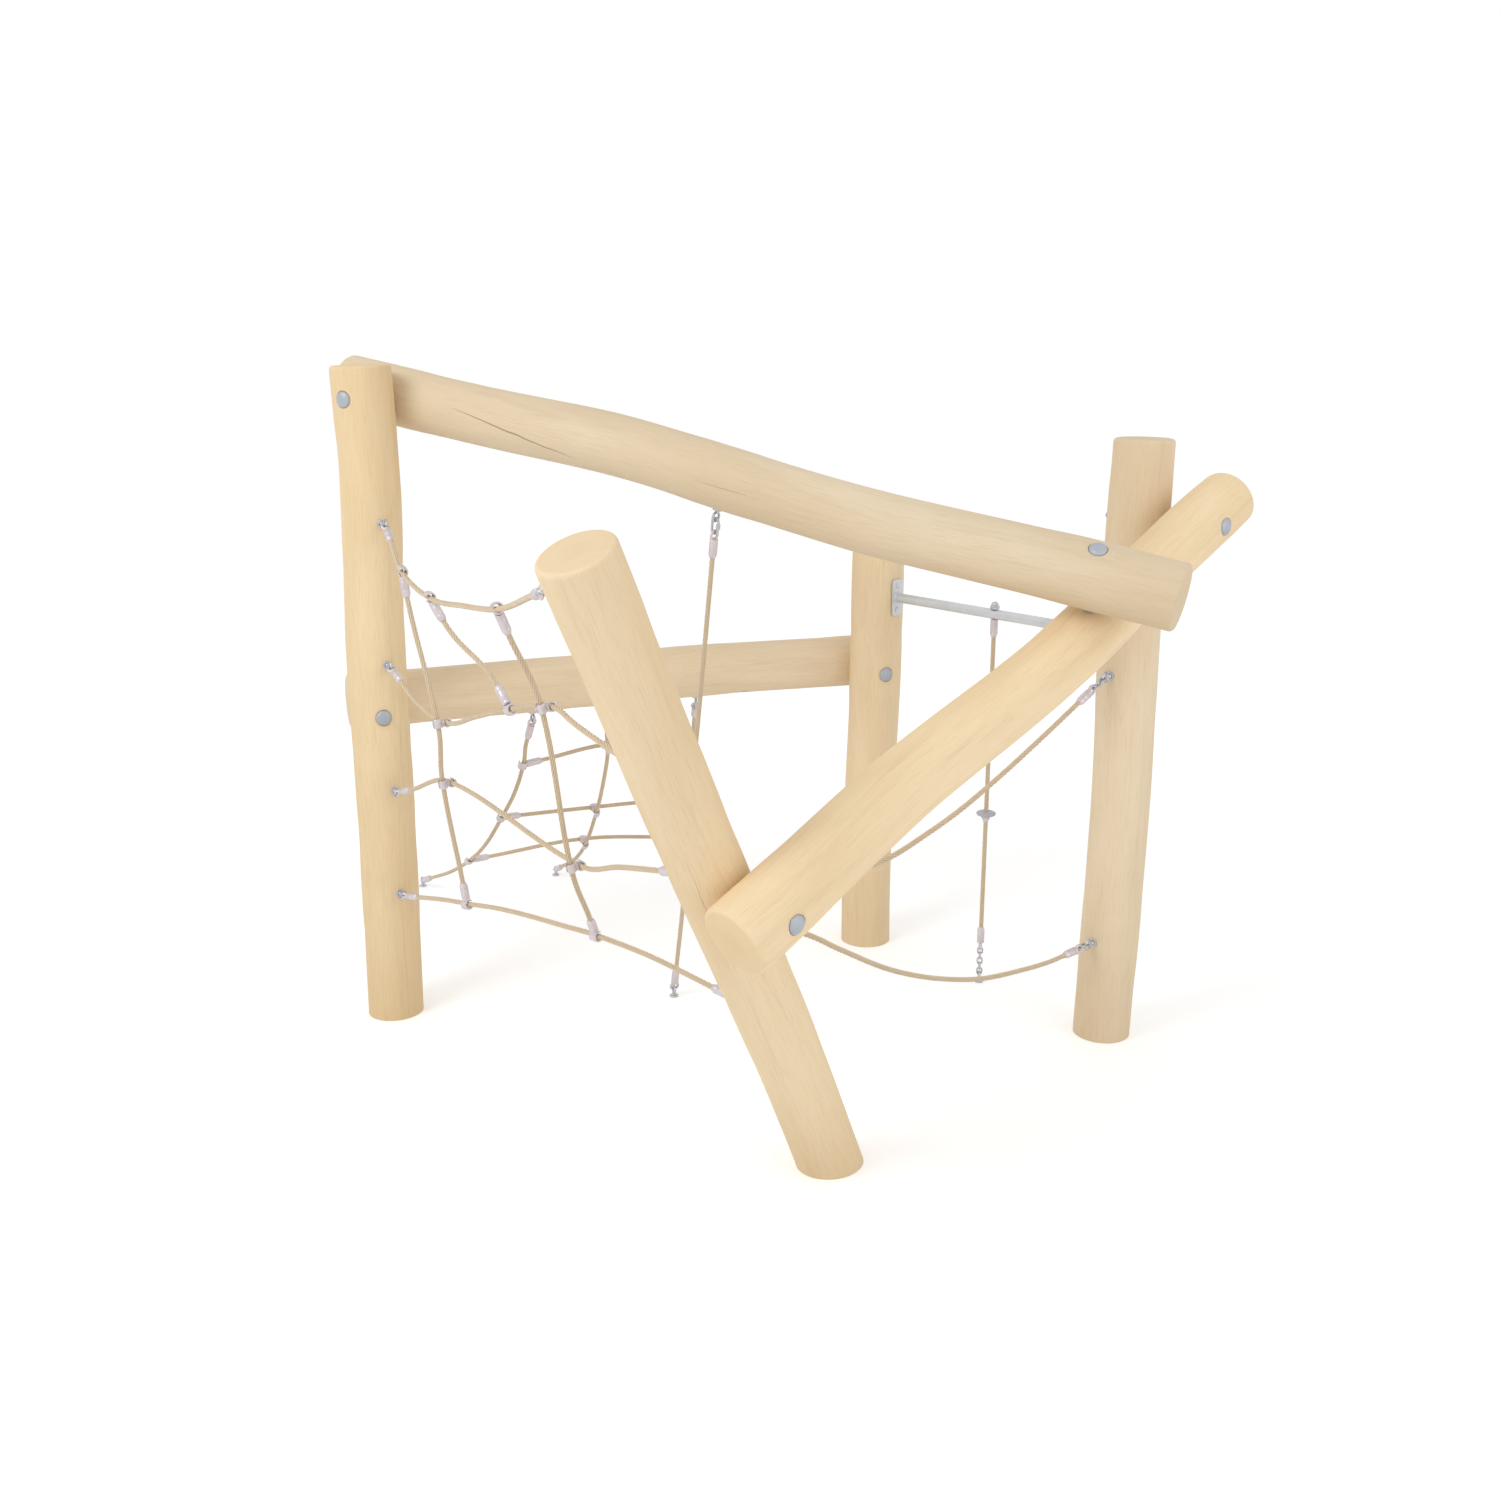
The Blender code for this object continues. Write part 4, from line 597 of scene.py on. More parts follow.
def carve(made, tools):
    # takes the tools out of a piece for good, and keeps its own attributes
    for tool in tools:
        cut = made.modifiers.new("cut", "BOOLEAN")
        cut.operation = "DIFFERENCE"
        cut.object = tool
        cut.solver = "EXACT"
    graph = bpy.context.evaluated_depsgraph_get()
    mesh = bpy.data.meshes.new_from_object(made.evaluated_get(graph), preserve_all_data_layers=True,
                                           depsgraph=graph)
    made.modifiers.clear()
    made.data = mesh
    smooth(mesh)


# Logs: where they stand and how they bow, as in the solids

class Log:
    def __init__(self, node, points, seed, kept=(), ends=(logStock["radius"], logStock["radius"]),
                 post=False):
        self.node, self.kept, self.post = node, kept, post
        self.points = [Vector(p) for p in points]
        self.seed = Vector((seed * 7.3, seed * 3.1, seed * 11.7))
        self.butt, self.tip = ends
        self.route = smoothRoute(self.points, logStock["routeStep"], kept)
        self.touches = []
        self.tools = []

    def swell(self, angle, along):
        spot = Vector((cos(angle) * 0.8, sin(angle) * 0.8, along * 2.4)) + self.seed
        return 0.6 * noise.noise(spot) + 0.25 * noise.noise(spot * 2.7) - 0.95

    def drift(self, along, axis):
        return noise.noise(Vector((along * 1.7, axis * 5.0, 2.0)) + self.seed)

    def calm(self, spot):
        near, far = logStock["calmNear"], logStock["calmFar"]
        share = (min((spot - touch).length for touch in self.touches) - near) / (far - near)
        share = min(1.0, max(0.0, share))
        return share * share * (3 - 2 * share)

    def radiusAt(self, share):
        return self.butt + (self.tip - self.butt) * share

    def build(self, finish):
        s = logStock
        fine = smoothRoute(self.points, s["fineStep"], self.kept)
        total = routeLength(fine)
        rim = s["rim"]
        turns = [pi / 2 * k / s["rimSteps"] for k in range(s["rimSteps"], -1, -1)]
        soft = [(rim * (1 - sin(turn)), rim * (1 - cos(turn))) for turn in turns]
        count = round((total - 2 * rim) / s["step"])
        marks = soft + [(rim + (total - 2 * rim) * k / count, 0.0) for k in range(1, count)]
        marks += [(total - offset, inset) for offset, inset in soft[::-1]]
        rings, space, ends = [], [], []
        across = None
        for along, inset in marks:
            centre, run = pointAlong(fine, along / total)
            across = anySide(run) if across is None else squareTo(across, run)
            up = run.cross(across)
            calm = self.calm(centre)
            drift = across * self.drift(along, 0) + up * self.drift(along, 1)
            centre = centre + drift * s["drift"] * calm
            ring = []
            for k in range(s["sides"]):
                angle = 2 * pi * k / s["sides"]
                reach = self.radiusAt(along / total) * s["skin"] / s["radius"]
                reach += s["swell"] * calm * self.swell(angle, along) - inset
                ring.append(centre + spoke(across, up, angle) * reach)
                space.append((cos(angle) * reach, sin(angle) * reach, along))
            rings.append(ring)
            sawn = 1.0 if inset > rim * 0.99 else (0.35 if inset > rim * 0.6 else 0.0)
            ends += [sawn] * s["sides"]
        piece = Piece(self.node)
        piece.shell(rings)
        piece.extras = {"logSpace": space, "endGrain": ends}
        return piece.build(finish, slot="log_wood", ground=self.post)


def postPoints(foot, top, bows):
    foot, top = Vector((*foot, 0)), Vector(top)
    below = foot - (top - foot).normalized() * logStock["spare"]
    return [below] + [below.lerp(top, share) + Vector(aside) for share, aside in bows] + [top]


def beamPoints(first, second, reaches, bows):
    first, second = Vector(first), Vector(second)
    run = (second - first).normalized()
    return ([first - run * reaches[0], first]
            + [first.lerp(second, share) + zAxis * rise for share, rise in bows]
            + [second, second + run * reaches[1]])


diagonalBolts = (Vector((-0.0087, -1.3448, 0.9348)), Vector((1.2673, -0.1972, 1.7)))
diagonalRadii = (0.0985, 0.091)
diagonalReaches = (0.120, 0.163)
taper = (diagonalRadii[0] - diagonalRadii[1]) / (diagonalBolts[1] - diagonalBolts[0]).length
diagonalEnds = (diagonalRadii[0] + taper * diagonalReaches[0],
                diagonalRadii[1] - taper * diagonalReaches[1])

logs = {
    "left": Log("post_left", postPoints((-1.266, 0.122), (-1.245, 0.122, 2.147),
                [(0.35, (0.004, 0, 0)), (0.62, (0, 0, 0)), (0.85, (0.011, 0, 0))]), 1, post=True),
    "front": Log("post_front", postPoints((0.171, -0.869), (-0.415, -1.527, 1.807),
                 [(0.25, (0.009, 0, 0)), (0.60, (-0.002, 0, 0.004))]), 2, post=True),
    "right": Log("post_right", postPoints((1.116, -0.045), (1.130, -0.045, 1.938),
                 [(0.45, (0.008, 0, 0)), (0.72, (-0.003, 0, 0))]), 3, post=True),
    "rear": Log("post_rear", postPoints((0.392, 0.760), (0.409, 0.760, 1.590),
                [(0.30, (-0.006, 0, 0)), (0.60, (0.003, 0, 0))]), 4, post=True),
    "rearBeam": Log("beam_rear", beamPoints((-1.3192, 0.2890, 1.054), (0.3417, 0.9270, 1.054),
                    (0.078, 0.150), [(0.35, 0.004), (0.65, 0.008)]), 5, (1, 4)),
    "diagonal": Log("beam_diagonal", beamPoints(*diagonalBolts, diagonalReaches,
                    [(0.25, 0.012), (0.60, -0.028)]), 6, (1, 4), diagonalEnds),
    "topBeam": Log("beam_top", beamPoints((-1.1658, 0.2835, 2.047), (0.8646, -0.6604, 1.6202),
                   (0.195, 0.237), [(0.17, 0.007), (0.36, 0.021), (0.55, 0.002), (0.68, -0.010)]),
                   7, (1, 6)),
}


def postAt(name, height):
    return pointAtHeight(logs[name].route, height)[0]


def onPost(name, height):
    return logs[name], postAt(name, height), logStock["radius"]


def onBeam(name, number, radius=logStock["radius"]):
    return logs[name], logs[name].points[number], radius


def onDiagonal(share):
    log = logs["diagonal"]
    return log, pointAlong(log.route, share)[0], log.radiusAt(share)


# Through bolts with their washers, nuts and spacers

boltStock = {
    "rod": 0.008, "head": 0.0245, "rise": 0.011, "spotDepth": 0.005, "spotMargin": 0.002,
    "nut": 0.0145, "nutHeight": 0.013, "washer": 0.004, "tip": 0.006, "tipInEye": 0.009, "turns": 6,
    "spacer": 0.019, "spacerEdge": 0.0012, "sink": 0.002, "gap": 0.0003,
}


def hexNut(piece, base, axis, reach, height):
    # six flats with the corners turned off at both ends
    piece.turned([(0, 0.93), (0.1, 1), (0.9, 1), (1, 0.93)], base, axis, 6, height, reach)


class Bolt:
    # head and nut each come as the log, the point on its middle line and its radius there
    def __init__(self, node, head, nut, spacer=None, eyeNut=False):
        b = boltStock
        self.node, self.spacer, self.eyeNut = node, spacer, eyeNut
        self.run = (nut[1] - head[1]).normalized()
        self.seats, self.flats = [], []
        for (log, place, radius), out in ((head, -self.run), (nut, self.run)):
            self.seats.append(place + out * (radius - b["spotDepth"]))
            self.flats.append(place - out * (radius - b["sink"]))
            log.touches.append(place)
            log.tools.append((self.seats[-1], out, b["head"] + b["spotMargin"]))
            if spacer:
                log.tools.append((self.flats[-1], -out, b["spacer"] + b["spotMargin"]))

    def build(self):
        b = boltStock
        rod, rise, head, washer, tip = [b[key] for key in ("rod", "rise", "head", "washer", "tip")]
        under = self.seats[0] - self.run * b["gap"]
        length = (self.seats[1] - under).dot(self.run) + b["gap"]
        piece = Piece(self.node)
        piece.turned([(0, 0.97), (0.06, 1), (0.28, 1), (0.42, 0.97), (0.62, 0.87), (0.80, 0.70),
                      (0.93, 0.47), (0.99, 0.22)], under, -self.run, 48, rise, head)
        end = length + washer + (b["tipInEye"] if self.eyeNut else b["nutHeight"] + tip)
        thread = [(-0.002, rod), (length + washer, rod)]
        flanks = 0 if self.eyeNut else 2 * b["turns"]
        for k in range(flanks):
            thread.append((end - tip * 0.9 + tip * 0.7 * k / flanks, rod * (1.0 if k % 2 else 0.90)))
        thread.append((end, rod * 0.8))
        piece.turned(thread, under, self.run, 24)
        foot = under + self.run * length
        piece.turned([(0, 0.98), (0.1, 1), (0.8, 1), (1, 0.96)], foot, self.run, 48, washer, head)
        if not self.eyeNut:
            hexNut(piece, foot + self.run * washer, self.run, b["nut"], b["nutHeight"])
        piece.build(finishes["bolt"])
        if self.spacer:
            first, last = self.flats
            half = ((last - first).dot(self.run) - 2 * b["gap"]) / 2
            edge, inner, outer = b["spacerEdge"], rod + b["gap"], b["spacer"]
            shape = [(half - edge, outer), (half, outer - edge), (half, inner)]
            tube = Piece(self.spacer)
            tube.turned([(-up, out) for up, out in shape[::-1]] + shape, (first + last) / 2, self.run,
                        hollow=True)
            tube.build(finishes["bolt"])


lowBolt = Bolt("bolt_diagonal_low", onBeam("diagonal", 1, diagonalRadii[0]), onPost("front", 0.944),
               eyeNut=True)
bolts = [
    Bolt("bolt_top_left", onPost("left", 2.047), onBeam("topBeam", 1)),
    Bolt("bolt_rear_left", onPost("left", 1.054), onBeam("rearBeam", 1)),
    Bolt("bolt_rear_right", onPost("rear", 1.054), onBeam("rearBeam", -2)),
    lowBolt,
    Bolt("bolt_diagonal_high", onBeam("diagonal", -2, diagonalRadii[1]), onPost("right", 1.700),
         "spacer_right_post"),
    Bolt("bolt_top_right", onBeam("topBeam", -2), onDiagonal(0.655), "spacer_top_beam"),
]


# The crossbar and the point on it that the disc rope hangs from

crossbar = {"height": 1.332, "radius": 0.01685, "gap": 0.0003, "plate": (0.130, 0.050, 0.006),
            "plateEdge": 0.0009, "plateSteps": 40, "bead": 0.0028, "screws": 0.088, "screwHead": 0.011,
            "share": 0.504}
barEnds = [postAt("rear", crossbar["height"]), postAt("right", crossbar["height"])]
barRun = (barEnds[1] - barEnds[0]).normalized()
barStart = barEnds[0] + barRun * (logStock["radius"] + crossbar["gap"])
barFinish = barEnds[1] - barRun * (logStock["radius"] + crossbar["gap"])
hanger = barStart.lerp(barFinish, crossbar["share"])
logs["rear"].touches.append(barEnds[0])
logs["right"].touches.append(barEnds[1])


def buildCrossbar():
    c = crossbar
    piece = Piece("crossbar")
    length = (barFinish - barStart).length
    piece.turned([(0.003, c["radius"]), (length - 0.003, c["radius"])], barStart, barRun, 48)
    tall, wide, thick = c["plate"]
    edge, steps = c["plateEdge"], c["plateSteps"]
    corner = wide * 0.22
    for face, out in ((barStart, barRun), (barFinish, -barRun)):
        side = zAxis.cross(out).normalized()
        rings = []
        for height, inset in ((0, edge), (edge, 0), (thick - edge, 0), (thick, edge)):
            ring = []
            for k in range(steps):
                angle = 2 * pi * (k + 0.5) / steps
                x = copysign(wide / 2 - corner, cos(angle)) + cos(angle) * (corner - inset)
                z = copysign(tall / 2 - corner, sin(angle)) + sin(angle) * (corner - inset)
                ring.append(face + out * height + side * x + zAxis * z)
            rings.append(ring)
        piece.shell(rings)
        bead = c["radius"] + c["bead"]
        piece.turned([(thick - 0.001, bead), (thick + 0.0012, bead - 0.0003),
                      (thick + 0.0030, c["radius"] + 0.0010), (thick + 0.0040, c["radius"] - 0.001)],
                     face, out, 48)
        for end in (-0.5, 0.5):
            seat = face + zAxis * (end * c["screws"]) + out * thick
            piece.turned([(-0.001, 1), (0.0016, 1), (0.0030, 0.88), (0.0042, 0.66), (0.0048, 0.42)],
                         seat, out, 32, wide=c["screwHead"])
    piece.build(finishes["bar"])


# Eye bolts and ground anchors

eyeStock = {
    "ring": 0.013, "wire": 0.0045, "wireSeen": 0.0041, "screwNeck": 0.010, "collar": 0.0150,
    "collarHeight": 0.004, "shank": 0.0060, "nutNeck": 0.019, "anchorNeck": 0.006,
    "anchorHeight": 0.006, "anchor": 0.0151,
}

# the last wire of a run of links: where it lies, how thick it is and the way across it
Tail = namedtuple("Tail", "point wire across")


class Eye:
    def __init__(self, node, kind, seat, out, towards):
        self.node, self.kind, self.seat, self.out = node, kind, seat, out
        self.centre = seat + out * (eyeStock[kind + "Neck"] + eyeStock["ring"])
        self.run = (Vector(towards) - self.centre).normalized()
        straight = abs(out.dot(self.run)) > 0.99
        plane = xAxis if straight else out.cross(self.run).normalized()
        self.side = plane.cross(self.run).normalized()

    def tail(self):
        return Tail(self.centre + self.run * eyeStock["ring"], eyeStock["wire"], self.side)

    def build(self):
        e = eyeStock
        shank, collar, sunk = e["shank"], e["collar"], e["wire"] * 0.4
        piece = Piece(self.node)
        piece.ring(self.centre, self.run, self.side, e["ring"], e["ring"], e["wireSeen"], 16, 18)
        if self.kind == "screw":
            high = e["collarHeight"]
            profile = [(-0.004, collar * 0.98), (high * 0.72, collar * 0.98), (high * 0.92, collar * 0.93),
                       (high, collar * 0.86), (high * 1.05, shank * 1.25), (high * 1.5, shank),
                       (e["screwNeck"] + sunk, shank * 0.82)]
        elif self.kind == "nut":
            tall, wide = e["nutNeck"], boltStock["nut"]
            hexNut(piece, self.seat, self.out, wide, tall * 0.55)
            profile = [(tall * 0.5, wide * 0.80), (tall * 0.62, wide * 0.78), (tall * 0.8, shank * 1.35),
                       (tall + sunk, shank)]
        else:
            high, wide = e["anchorHeight"], e["anchor"]
            profile = [(-high, wide), (-high * 0.35, wide), (-high * 0.12, wide * 0.95), (0, wide * 0.84),
                       (0.0004, shank * 1.45), (0.0018, shank * 1.2), (e["anchorNeck"] + sunk, shank)]
        piece.turned(profile, self.seat, self.out, 36)
        piece.build(finishes["eye"])


def screwEye(name, log, spot, facing, towards):
    centre, run = spot
    out = squareTo(facing, run)
    logs[log].touches.append(centre)
    return Eye("eye_" + name, "screw", centre + out * logStock["radius"], out, towards)


def postEye(name, height, bearing, towards):
    post = name.split("_")[0]
    facing = spoke(xAxis, yAxis, radians(bearing))
    return screwEye(name, post, pointAtHeight(logs[post].route, height), facing, towards)


def beamEye(name, beam, near, towards):
    return screwEye(name, beam, nearestOn(logs[beam].route, Vector(near)), -zAxis, towards)


def nutEye(name, bolt, towards):
    seat = bolt.seats[1] + bolt.run * (boltStock["washer"] + 2 * boltStock["gap"])
    return Eye("eye_" + name, "nut", seat, bolt.run, towards)


def anchor(name, x, y, towards):
    return Eye("anchor_" + name, "anchor", Vector((x, y, eyeStock["anchorHeight"])), zAxis, towards)


eyes = {eye.node: eye for eye in (
    postEye("left_1", 1.674, -56.7, (-1.086, -0.179, 1.556)),
    postEye("left_2", 1.225, -56.7, (-1.080, -0.135, 1.154)),
    postEye("left_3", 0.809, -56.7, (-0.974, -0.241, 0.920)),
    postEye("left_4", 0.455, -56.7, (-1.021, -0.142, 0.502)),
    postEye("front_1", 1.726, 160.0, (-0.683, -0.922, 1.577)),
    postEye("front_2", 1.225, 125.8, (-0.495, -0.943, 1.286)),
    nutEye("front_3", lowBolt, (-0.391, -0.925, 0.895)),
    postEye("front_4", 0.545, 136.5, (-0.328, -0.773, 0.573)),
    postEye("front_5", 0.852, 42.9, (0.114, -0.983, 0.858)),
    postEye("front_6", 0.735, 42.9, (0.095, -0.993, 0.738)),
    postEye("right_1", 1.225, -137.1, (0.913, -0.241, 1.155)),
    postEye("right_2", 0.342, -137.1, (0.916, -0.238, 0.338)),
    beamEye("top_beam", "topBeam", (-0.128, -0.205, 1.84), (-0.182, -0.112, 1.399)),
    beamEye("rear_1", "rearBeam", (-0.816, 0.494, 1.05), (-0.838, 0.523, 0.834)),
    beamEye("rear_2", "rearBeam", (-0.540, 0.599, 1.05), (-0.570, 0.656, 0.844)),
    beamEye("rear_3", "rearBeam", (-0.251, 0.710, 1.05), (-0.259, 0.780, 0.853)),
    anchor("rear_1", -1.423, 1.328, (-1.260, 1.104, 0.144)),
    anchor("rear_2", -0.882, 1.462, (-0.776, 1.210, 0.155)),
    anchor("rear_3", -0.341, 1.596, (-0.314, 1.335, 0.160)),
    anchor("middle", -0.317, 0.232, (-0.277, 0.129, 0.380)),
    anchor("disc", hanger.x, hanger.y, (hanger.x, hanger.y, 1.0)),
)}


# Links between an eye and a rope

linkStock = {           # a link is half its length, half its width and its wire
    "gap": 0.0003, "swingGap": 0.0008, "fuse": 0.0009, "chain": (0.0125, 0.0085, 0.0032),
    "quick": (0.0240, 0.0120, 0.0040), "sleeve": 0.0068, "sleeveLong": 0.016,
}


def addLink(piece, tail, run, gap, halfLength, halfWidth, wire):
    # oval link that hangs in the last wire, turned a quarter round from it
    side = run.cross(squareTo(tail.across, run)).normalized()
    centre = tail.point - run * (tail.wire + wire + gap) + run * halfLength
    piece.ring(centre, run, side, halfLength, halfWidth, wire)
    return Tail(centre + run * halfLength, wire, side), centre


# Ropes: six laid strands, pressed ferrules, end loops and cast clamps

ropeStock = {
    "radius": 0.008, "strands": 6, "lay": 0.095, "step": 0.0075,
    "ferrule": 0.0130, "ferruleLong": 0.060, "lean": 25, "neck": 0.010, "loop": 0.0135, "loopWire": 0.0042,
    "clampWall": 0.0065, "clampWide": 0.028, "clampOverlap": 0.0022, "clampSteps": 30, "hold": 0.038,
    "hookRise": 0.0024, "netStep": 0.150,
}
clampSpacing = (2 * (ropeStock["radius"] + ropeStock["clampWall"]) + linkStock["gap"]
                - ropeStock["clampOverlap"])
bore = ropeStock["radius"] + linkStock["gap"]


def layStrands(piece, route):
    # one skin with a lobe for each strand, turned along the rope as the strands are laid
    strand = ropeStock["radius"] / 3
    spread = ropeStock["radius"] - strand
    halfWay = pi / ropeStock["strands"]
    valley = spread * cos(halfWay) + strand * 0.10
    # painted shade: how dark each point is painted, most in the groove between strands and some on each
    # strand's flanks
    lobes = [(-0.45, 0.3), (-0.15, 0.0), (0.15, 0.0), (0.45, 0.3)]
    rings, space, grooves = [], [], []
    walked = 0.0
    last = route[0]
    for point, across, up in framesAlong(route):
        walked += (point - last).length
        last = point
        ring = []
        for j in range(ropeStock["strands"]):
            middle = 2 * pi * j / ropeStock["strands"] + 2 * pi * walked / ropeStock["lay"]
            outward = spoke(across, up, middle)
            beside = spoke(up, -across, middle)
            for lobe, shade in lobes:
                angle = lobe * pi
                ring.append(point + outward * (spread + strand * cos(angle)) + beside * strand * sin(angle))
                space.append((j * 0.013 + lobe * 0.008, j * 0.05, walked))
                grooves.append(shade)
            ring.append(point + spoke(across, up, middle + halfWay) * valley)
            space.append((j * 0.013 + 0.0065, j * 0.05, walked))
            grooves.append(1.0)
        rings.append(ring)
    piece.shell(rings)
    piece.extras = {"strandSpace": space, "strandGrooveShade": grooves}


def addFerrule(piece, start, run):
    # pressed sleeve with two rolled grooves and a tapered neck; gives the rope's first two points
    r, long, neck = ropeStock["ferrule"], ropeStock["ferruleLong"], ropeStock["neck"]
    body = long - neck
    profile = [(-0.0006, r * 0.72), (0, r * 0.86), (0.0012, r * 0.96), (0.0030, r)]
    for share in (0.20, 0.80):
        at = body * share
        profile += [(at - 0.0022, r), (at - 0.0010, r * 0.955), (at + 0.0010, r * 0.955), (at + 0.0022, r)]
    profile += [(body - 0.0015, r), (body, r * 0.965), (body + neck * 0.45, r * 0.84),
                (long - 0.0008, r * 0.71), (long, ropeStock["radius"] * 1.03)]
    piece.turned(profile, start, run, 32)
    return [start + run * long * 0.5, start + run * (long + neck)]


def addCurl(piece, centre, axis, toward, opening, slack=0.0):
    # clamp bent round a rope: a band with soft edges and an open slot on the side named
    wall, wide, steps = ropeStock["clampWall"], ropeStock["clampWide"], ropeStock["clampSteps"]
    across = squareTo(toward, axis)
    up = axis.cross(across)
    section = []
    for k in range(20):
        angle = 2 * pi * k / 20
        a, b = [copysign(abs(c) ** 0.45, c) for c in (cos(angle), sin(angle))]
        section.append((a * wall / 2, b * wide / 2))
    rings = []
    for k in range(steps + 1):
        share = k / steps
        angle = opening / 2 + (2 * pi - opening) * share
        thin = 0.72 + 0.28 * min(1.0, min(share, 1 - share) * steps / 2.5)
        out = spoke(across, up, angle)
        rings.append([centre + out * (bore + slack + wall / 2 + a * thin) + axis * b * (0.88 + 0.12 * thin)
                      for a, b in section])
    piece.shell(rings)


class AtWire:
    # rope end that hangs in the last wire of an eye, a chain or a link
    def __init__(self, tail, gap=linkStock["gap"]):
        self.tail, self.gap = tail, gap

    def end(self, piece, towards):
        run = (Vector(towards) - self.tail.point).normalized()
        loop, wire = ropeStock["loop"], ropeStock["loopWire"]
        after, _ = addLink(piece, self.tail, run, self.gap, loop, loop, wire)
        start = after.point - run * wire * 0.4
        piece.turned([(-0.0045, 0.95), (-0.0025, 1.25), (0, 2.0), (0.0012, 2.6)], start, run, 24, wide=wire)
        return addFerrule(piece, start, run)


def atEye(node, gap=linkStock["gap"]):
    return AtWire(eyes[node].tail(), gap)


def atLinks(node, eye, target, count=0, body="frame", gap=linkStock["gap"]):
    # rope end in the last link of a chain, or in a quick link with its sleeve where there is no count
    size = linkStock["chain" if count else "quick"]
    tail = eyes[eye].tail()
    run = (Vector(target) - tail.point).normalized()
    piece = Piece(node)
    for _ in range(max(1, count)):
        tail, centre = addLink(piece, tail, run, gap, *size)
        gap = -linkStock["fuse"]
    if not count:
        wide, long = linkStock["sleeve"], linkStock["sleeveLong"]
        hexNut(piece, centre + tail.across * size[1] - run * (long / 2), run, wide, long)
    piece.build(finishes["eye"], body)
    return AtWire(tail)


class AtRope:
    # rope end that is clamped round another rope
    def __init__(self, route, near):
        self.spot, self.runThere = nearestOn(route, Vector(near))

    def end(self, piece, towards):
        spot, runThere = self.spot, self.runThere
        wanted = Vector(towards) - spot
        square = squareTo(wanted, runThere)
        lean = min(square.angle(wanted), radians(ropeStock["lean"]))
        run = square * cos(lean) + runThere * copysign(sin(lean), wanted.dot(runThere))
        leant = (bore + ropeStock["ferrule"] * sin(lean)) / cos(lean)
        reach = max(bore + ropeStock["clampWall"] * 0.5, leant)
        rise = ropeStock["hookRise"]
        addCurl(piece, spot - square * rise, runThere, square.cross(runThere) - square * 0.10, radians(86),
                rise)
        return addFerrule(piece, spot + run * reach, run)


class Held:
    # where another rope's clamp grips this rope, so that it runs straight there
    def __init__(self, place, side=Vector()):
        self.place = place
        self.own = Vector(place) - side * (clampSpacing / 2)

    def add(self, piece, ownRun):
        pass


class Crossing(Held):
    # cast double clamp: one curl round the other rope, one round this rope, and the web between
    def __init__(self, route, near, side):
        self.spot, self.runThere = nearestOn(route, Vector(near))
        self.side = squareTo(side, self.runThere)
        self.own = self.spot + self.side * clampSpacing

    def add(self, piece, ownRun):
        addCurl(piece, self.spot, self.runThere, ownRun.cross(self.runThere) * 0.2 - ownRun, radians(84))
        addCurl(piece, self.own, ownRun, self.side, radians(34))
        middle = (self.spot + self.own) / 2
        web = ropeStock["clampWall"] * 0.9
        piece.turned([(-1, 1.5), (-0.5, 2), (0.5, 2), (1, 1.5)], middle, self.side, 28, web, web)
        rivet = self.own + self.side * (bore + ropeStock["clampWall"] * 0.95)
        piece.turned([(-0.002, 0.0042), (0.0006, 0.0042), (0.0014, 0.0034), (0.0018, 0.0018)], rivet,
                     self.side, 20)


def layRope(node, first, last, via, body="frame"):
    inner = [item.own if isinstance(item, Held) else Vector(item) for item in via]
    fittings = Piece(node + "_fittings")
    start = first.end(fittings, inner[0] if inner else last.spot)
    finish = last.end(fittings, inner[-1] if inner else first.spot)
    centres = start + inner + finish[::-1]
    items = [None] * len(start) + list(via) + [None] * len(finish)
    points, kept, half = [], set(), ropeStock["hold"] / 2
    for k, (centre, item) in enumerate(zip(centres, items)):
        if item is None or isinstance(item, Held):
            kept.add(len(points))
        if isinstance(item, Held):
            run = (centres[k + 1] - centres[k - 1]).normalized()
            points.append(centre - run * half)
            kept.add(len(points))
            points.append(centre + run * half)
            item.add(fittings, run)
        else:
            points.append(centre)
    rope = Piece(node)
    line = smoothRoute(points, ropeStock["step"], kept)
    layStrands(rope, line)
    made = rope.build(finishes["rope"], body, "rope", sharp=80)
    fixed = fittings.build(finishes["cast"], body, added=True)
    return smoothRoute(points, ropeStock["netStep"], kept), made, fixed, line


def declareRope(laid, lay, *more):
    _, rope, fittings, line = laid
    length = routeLength(line)
    tuple(line[0])
    [tuple(p) for p in line]
    print("%s: %.3f m" % (rope.name, length))


def buildSlackRopes():
    upper = [(0.114, -0.983, 0.858), (0.256, -0.850, 0.863), (0.343, -0.769, 0.874), (0.430, -0.689, 0.901),
             (0.526, -0.600, 0.936), (0.638, -0.496, 0.990), (0.785, -0.360, 1.072), (0.913, -0.241, 1.148)]
    lower = [(0.095, -0.993, 0.734), (0.189, -0.906, 0.655), (0.341, -0.767, 0.535), (0.504, -0.616, 0.441),
             (0.630, -0.501, 0.390), (0.773, -0.369, 0.358), (0.916, -0.238, 0.342)]
    swing = linkStock["swingGap"]
    end = atLinks("slack_upper_chain", "eye_right_1", upper[-1], 3, "upper_slack_rope", swing)
    declareRope(layRope("slack_rope_upper", atEye("eye_front_5", swing), end, upper, "upper_slack_rope"),
                "hanging")
    end = atLinks("slack_lower_link", "eye_right_2", lower[-1], 0, "lower_slack_rope", swing)
    declareRope(layRope("slack_rope_lower", atEye("eye_front_6", swing), end, lower, "lower_slack_rope"),
                "hanging")


def buildMiddleRope():
    points = [(-0.182, -0.112, 1.399), (-0.208, -0.047, 1.133), (-0.246, 0.045, 0.750),
              (-0.277, 0.129, 0.380)]
    end = atLinks("middle_rope_link", "eye_top_beam", points[0])
    declareRope(layRope("middle_rope", end, atEye("anchor_middle"), points), "taut")


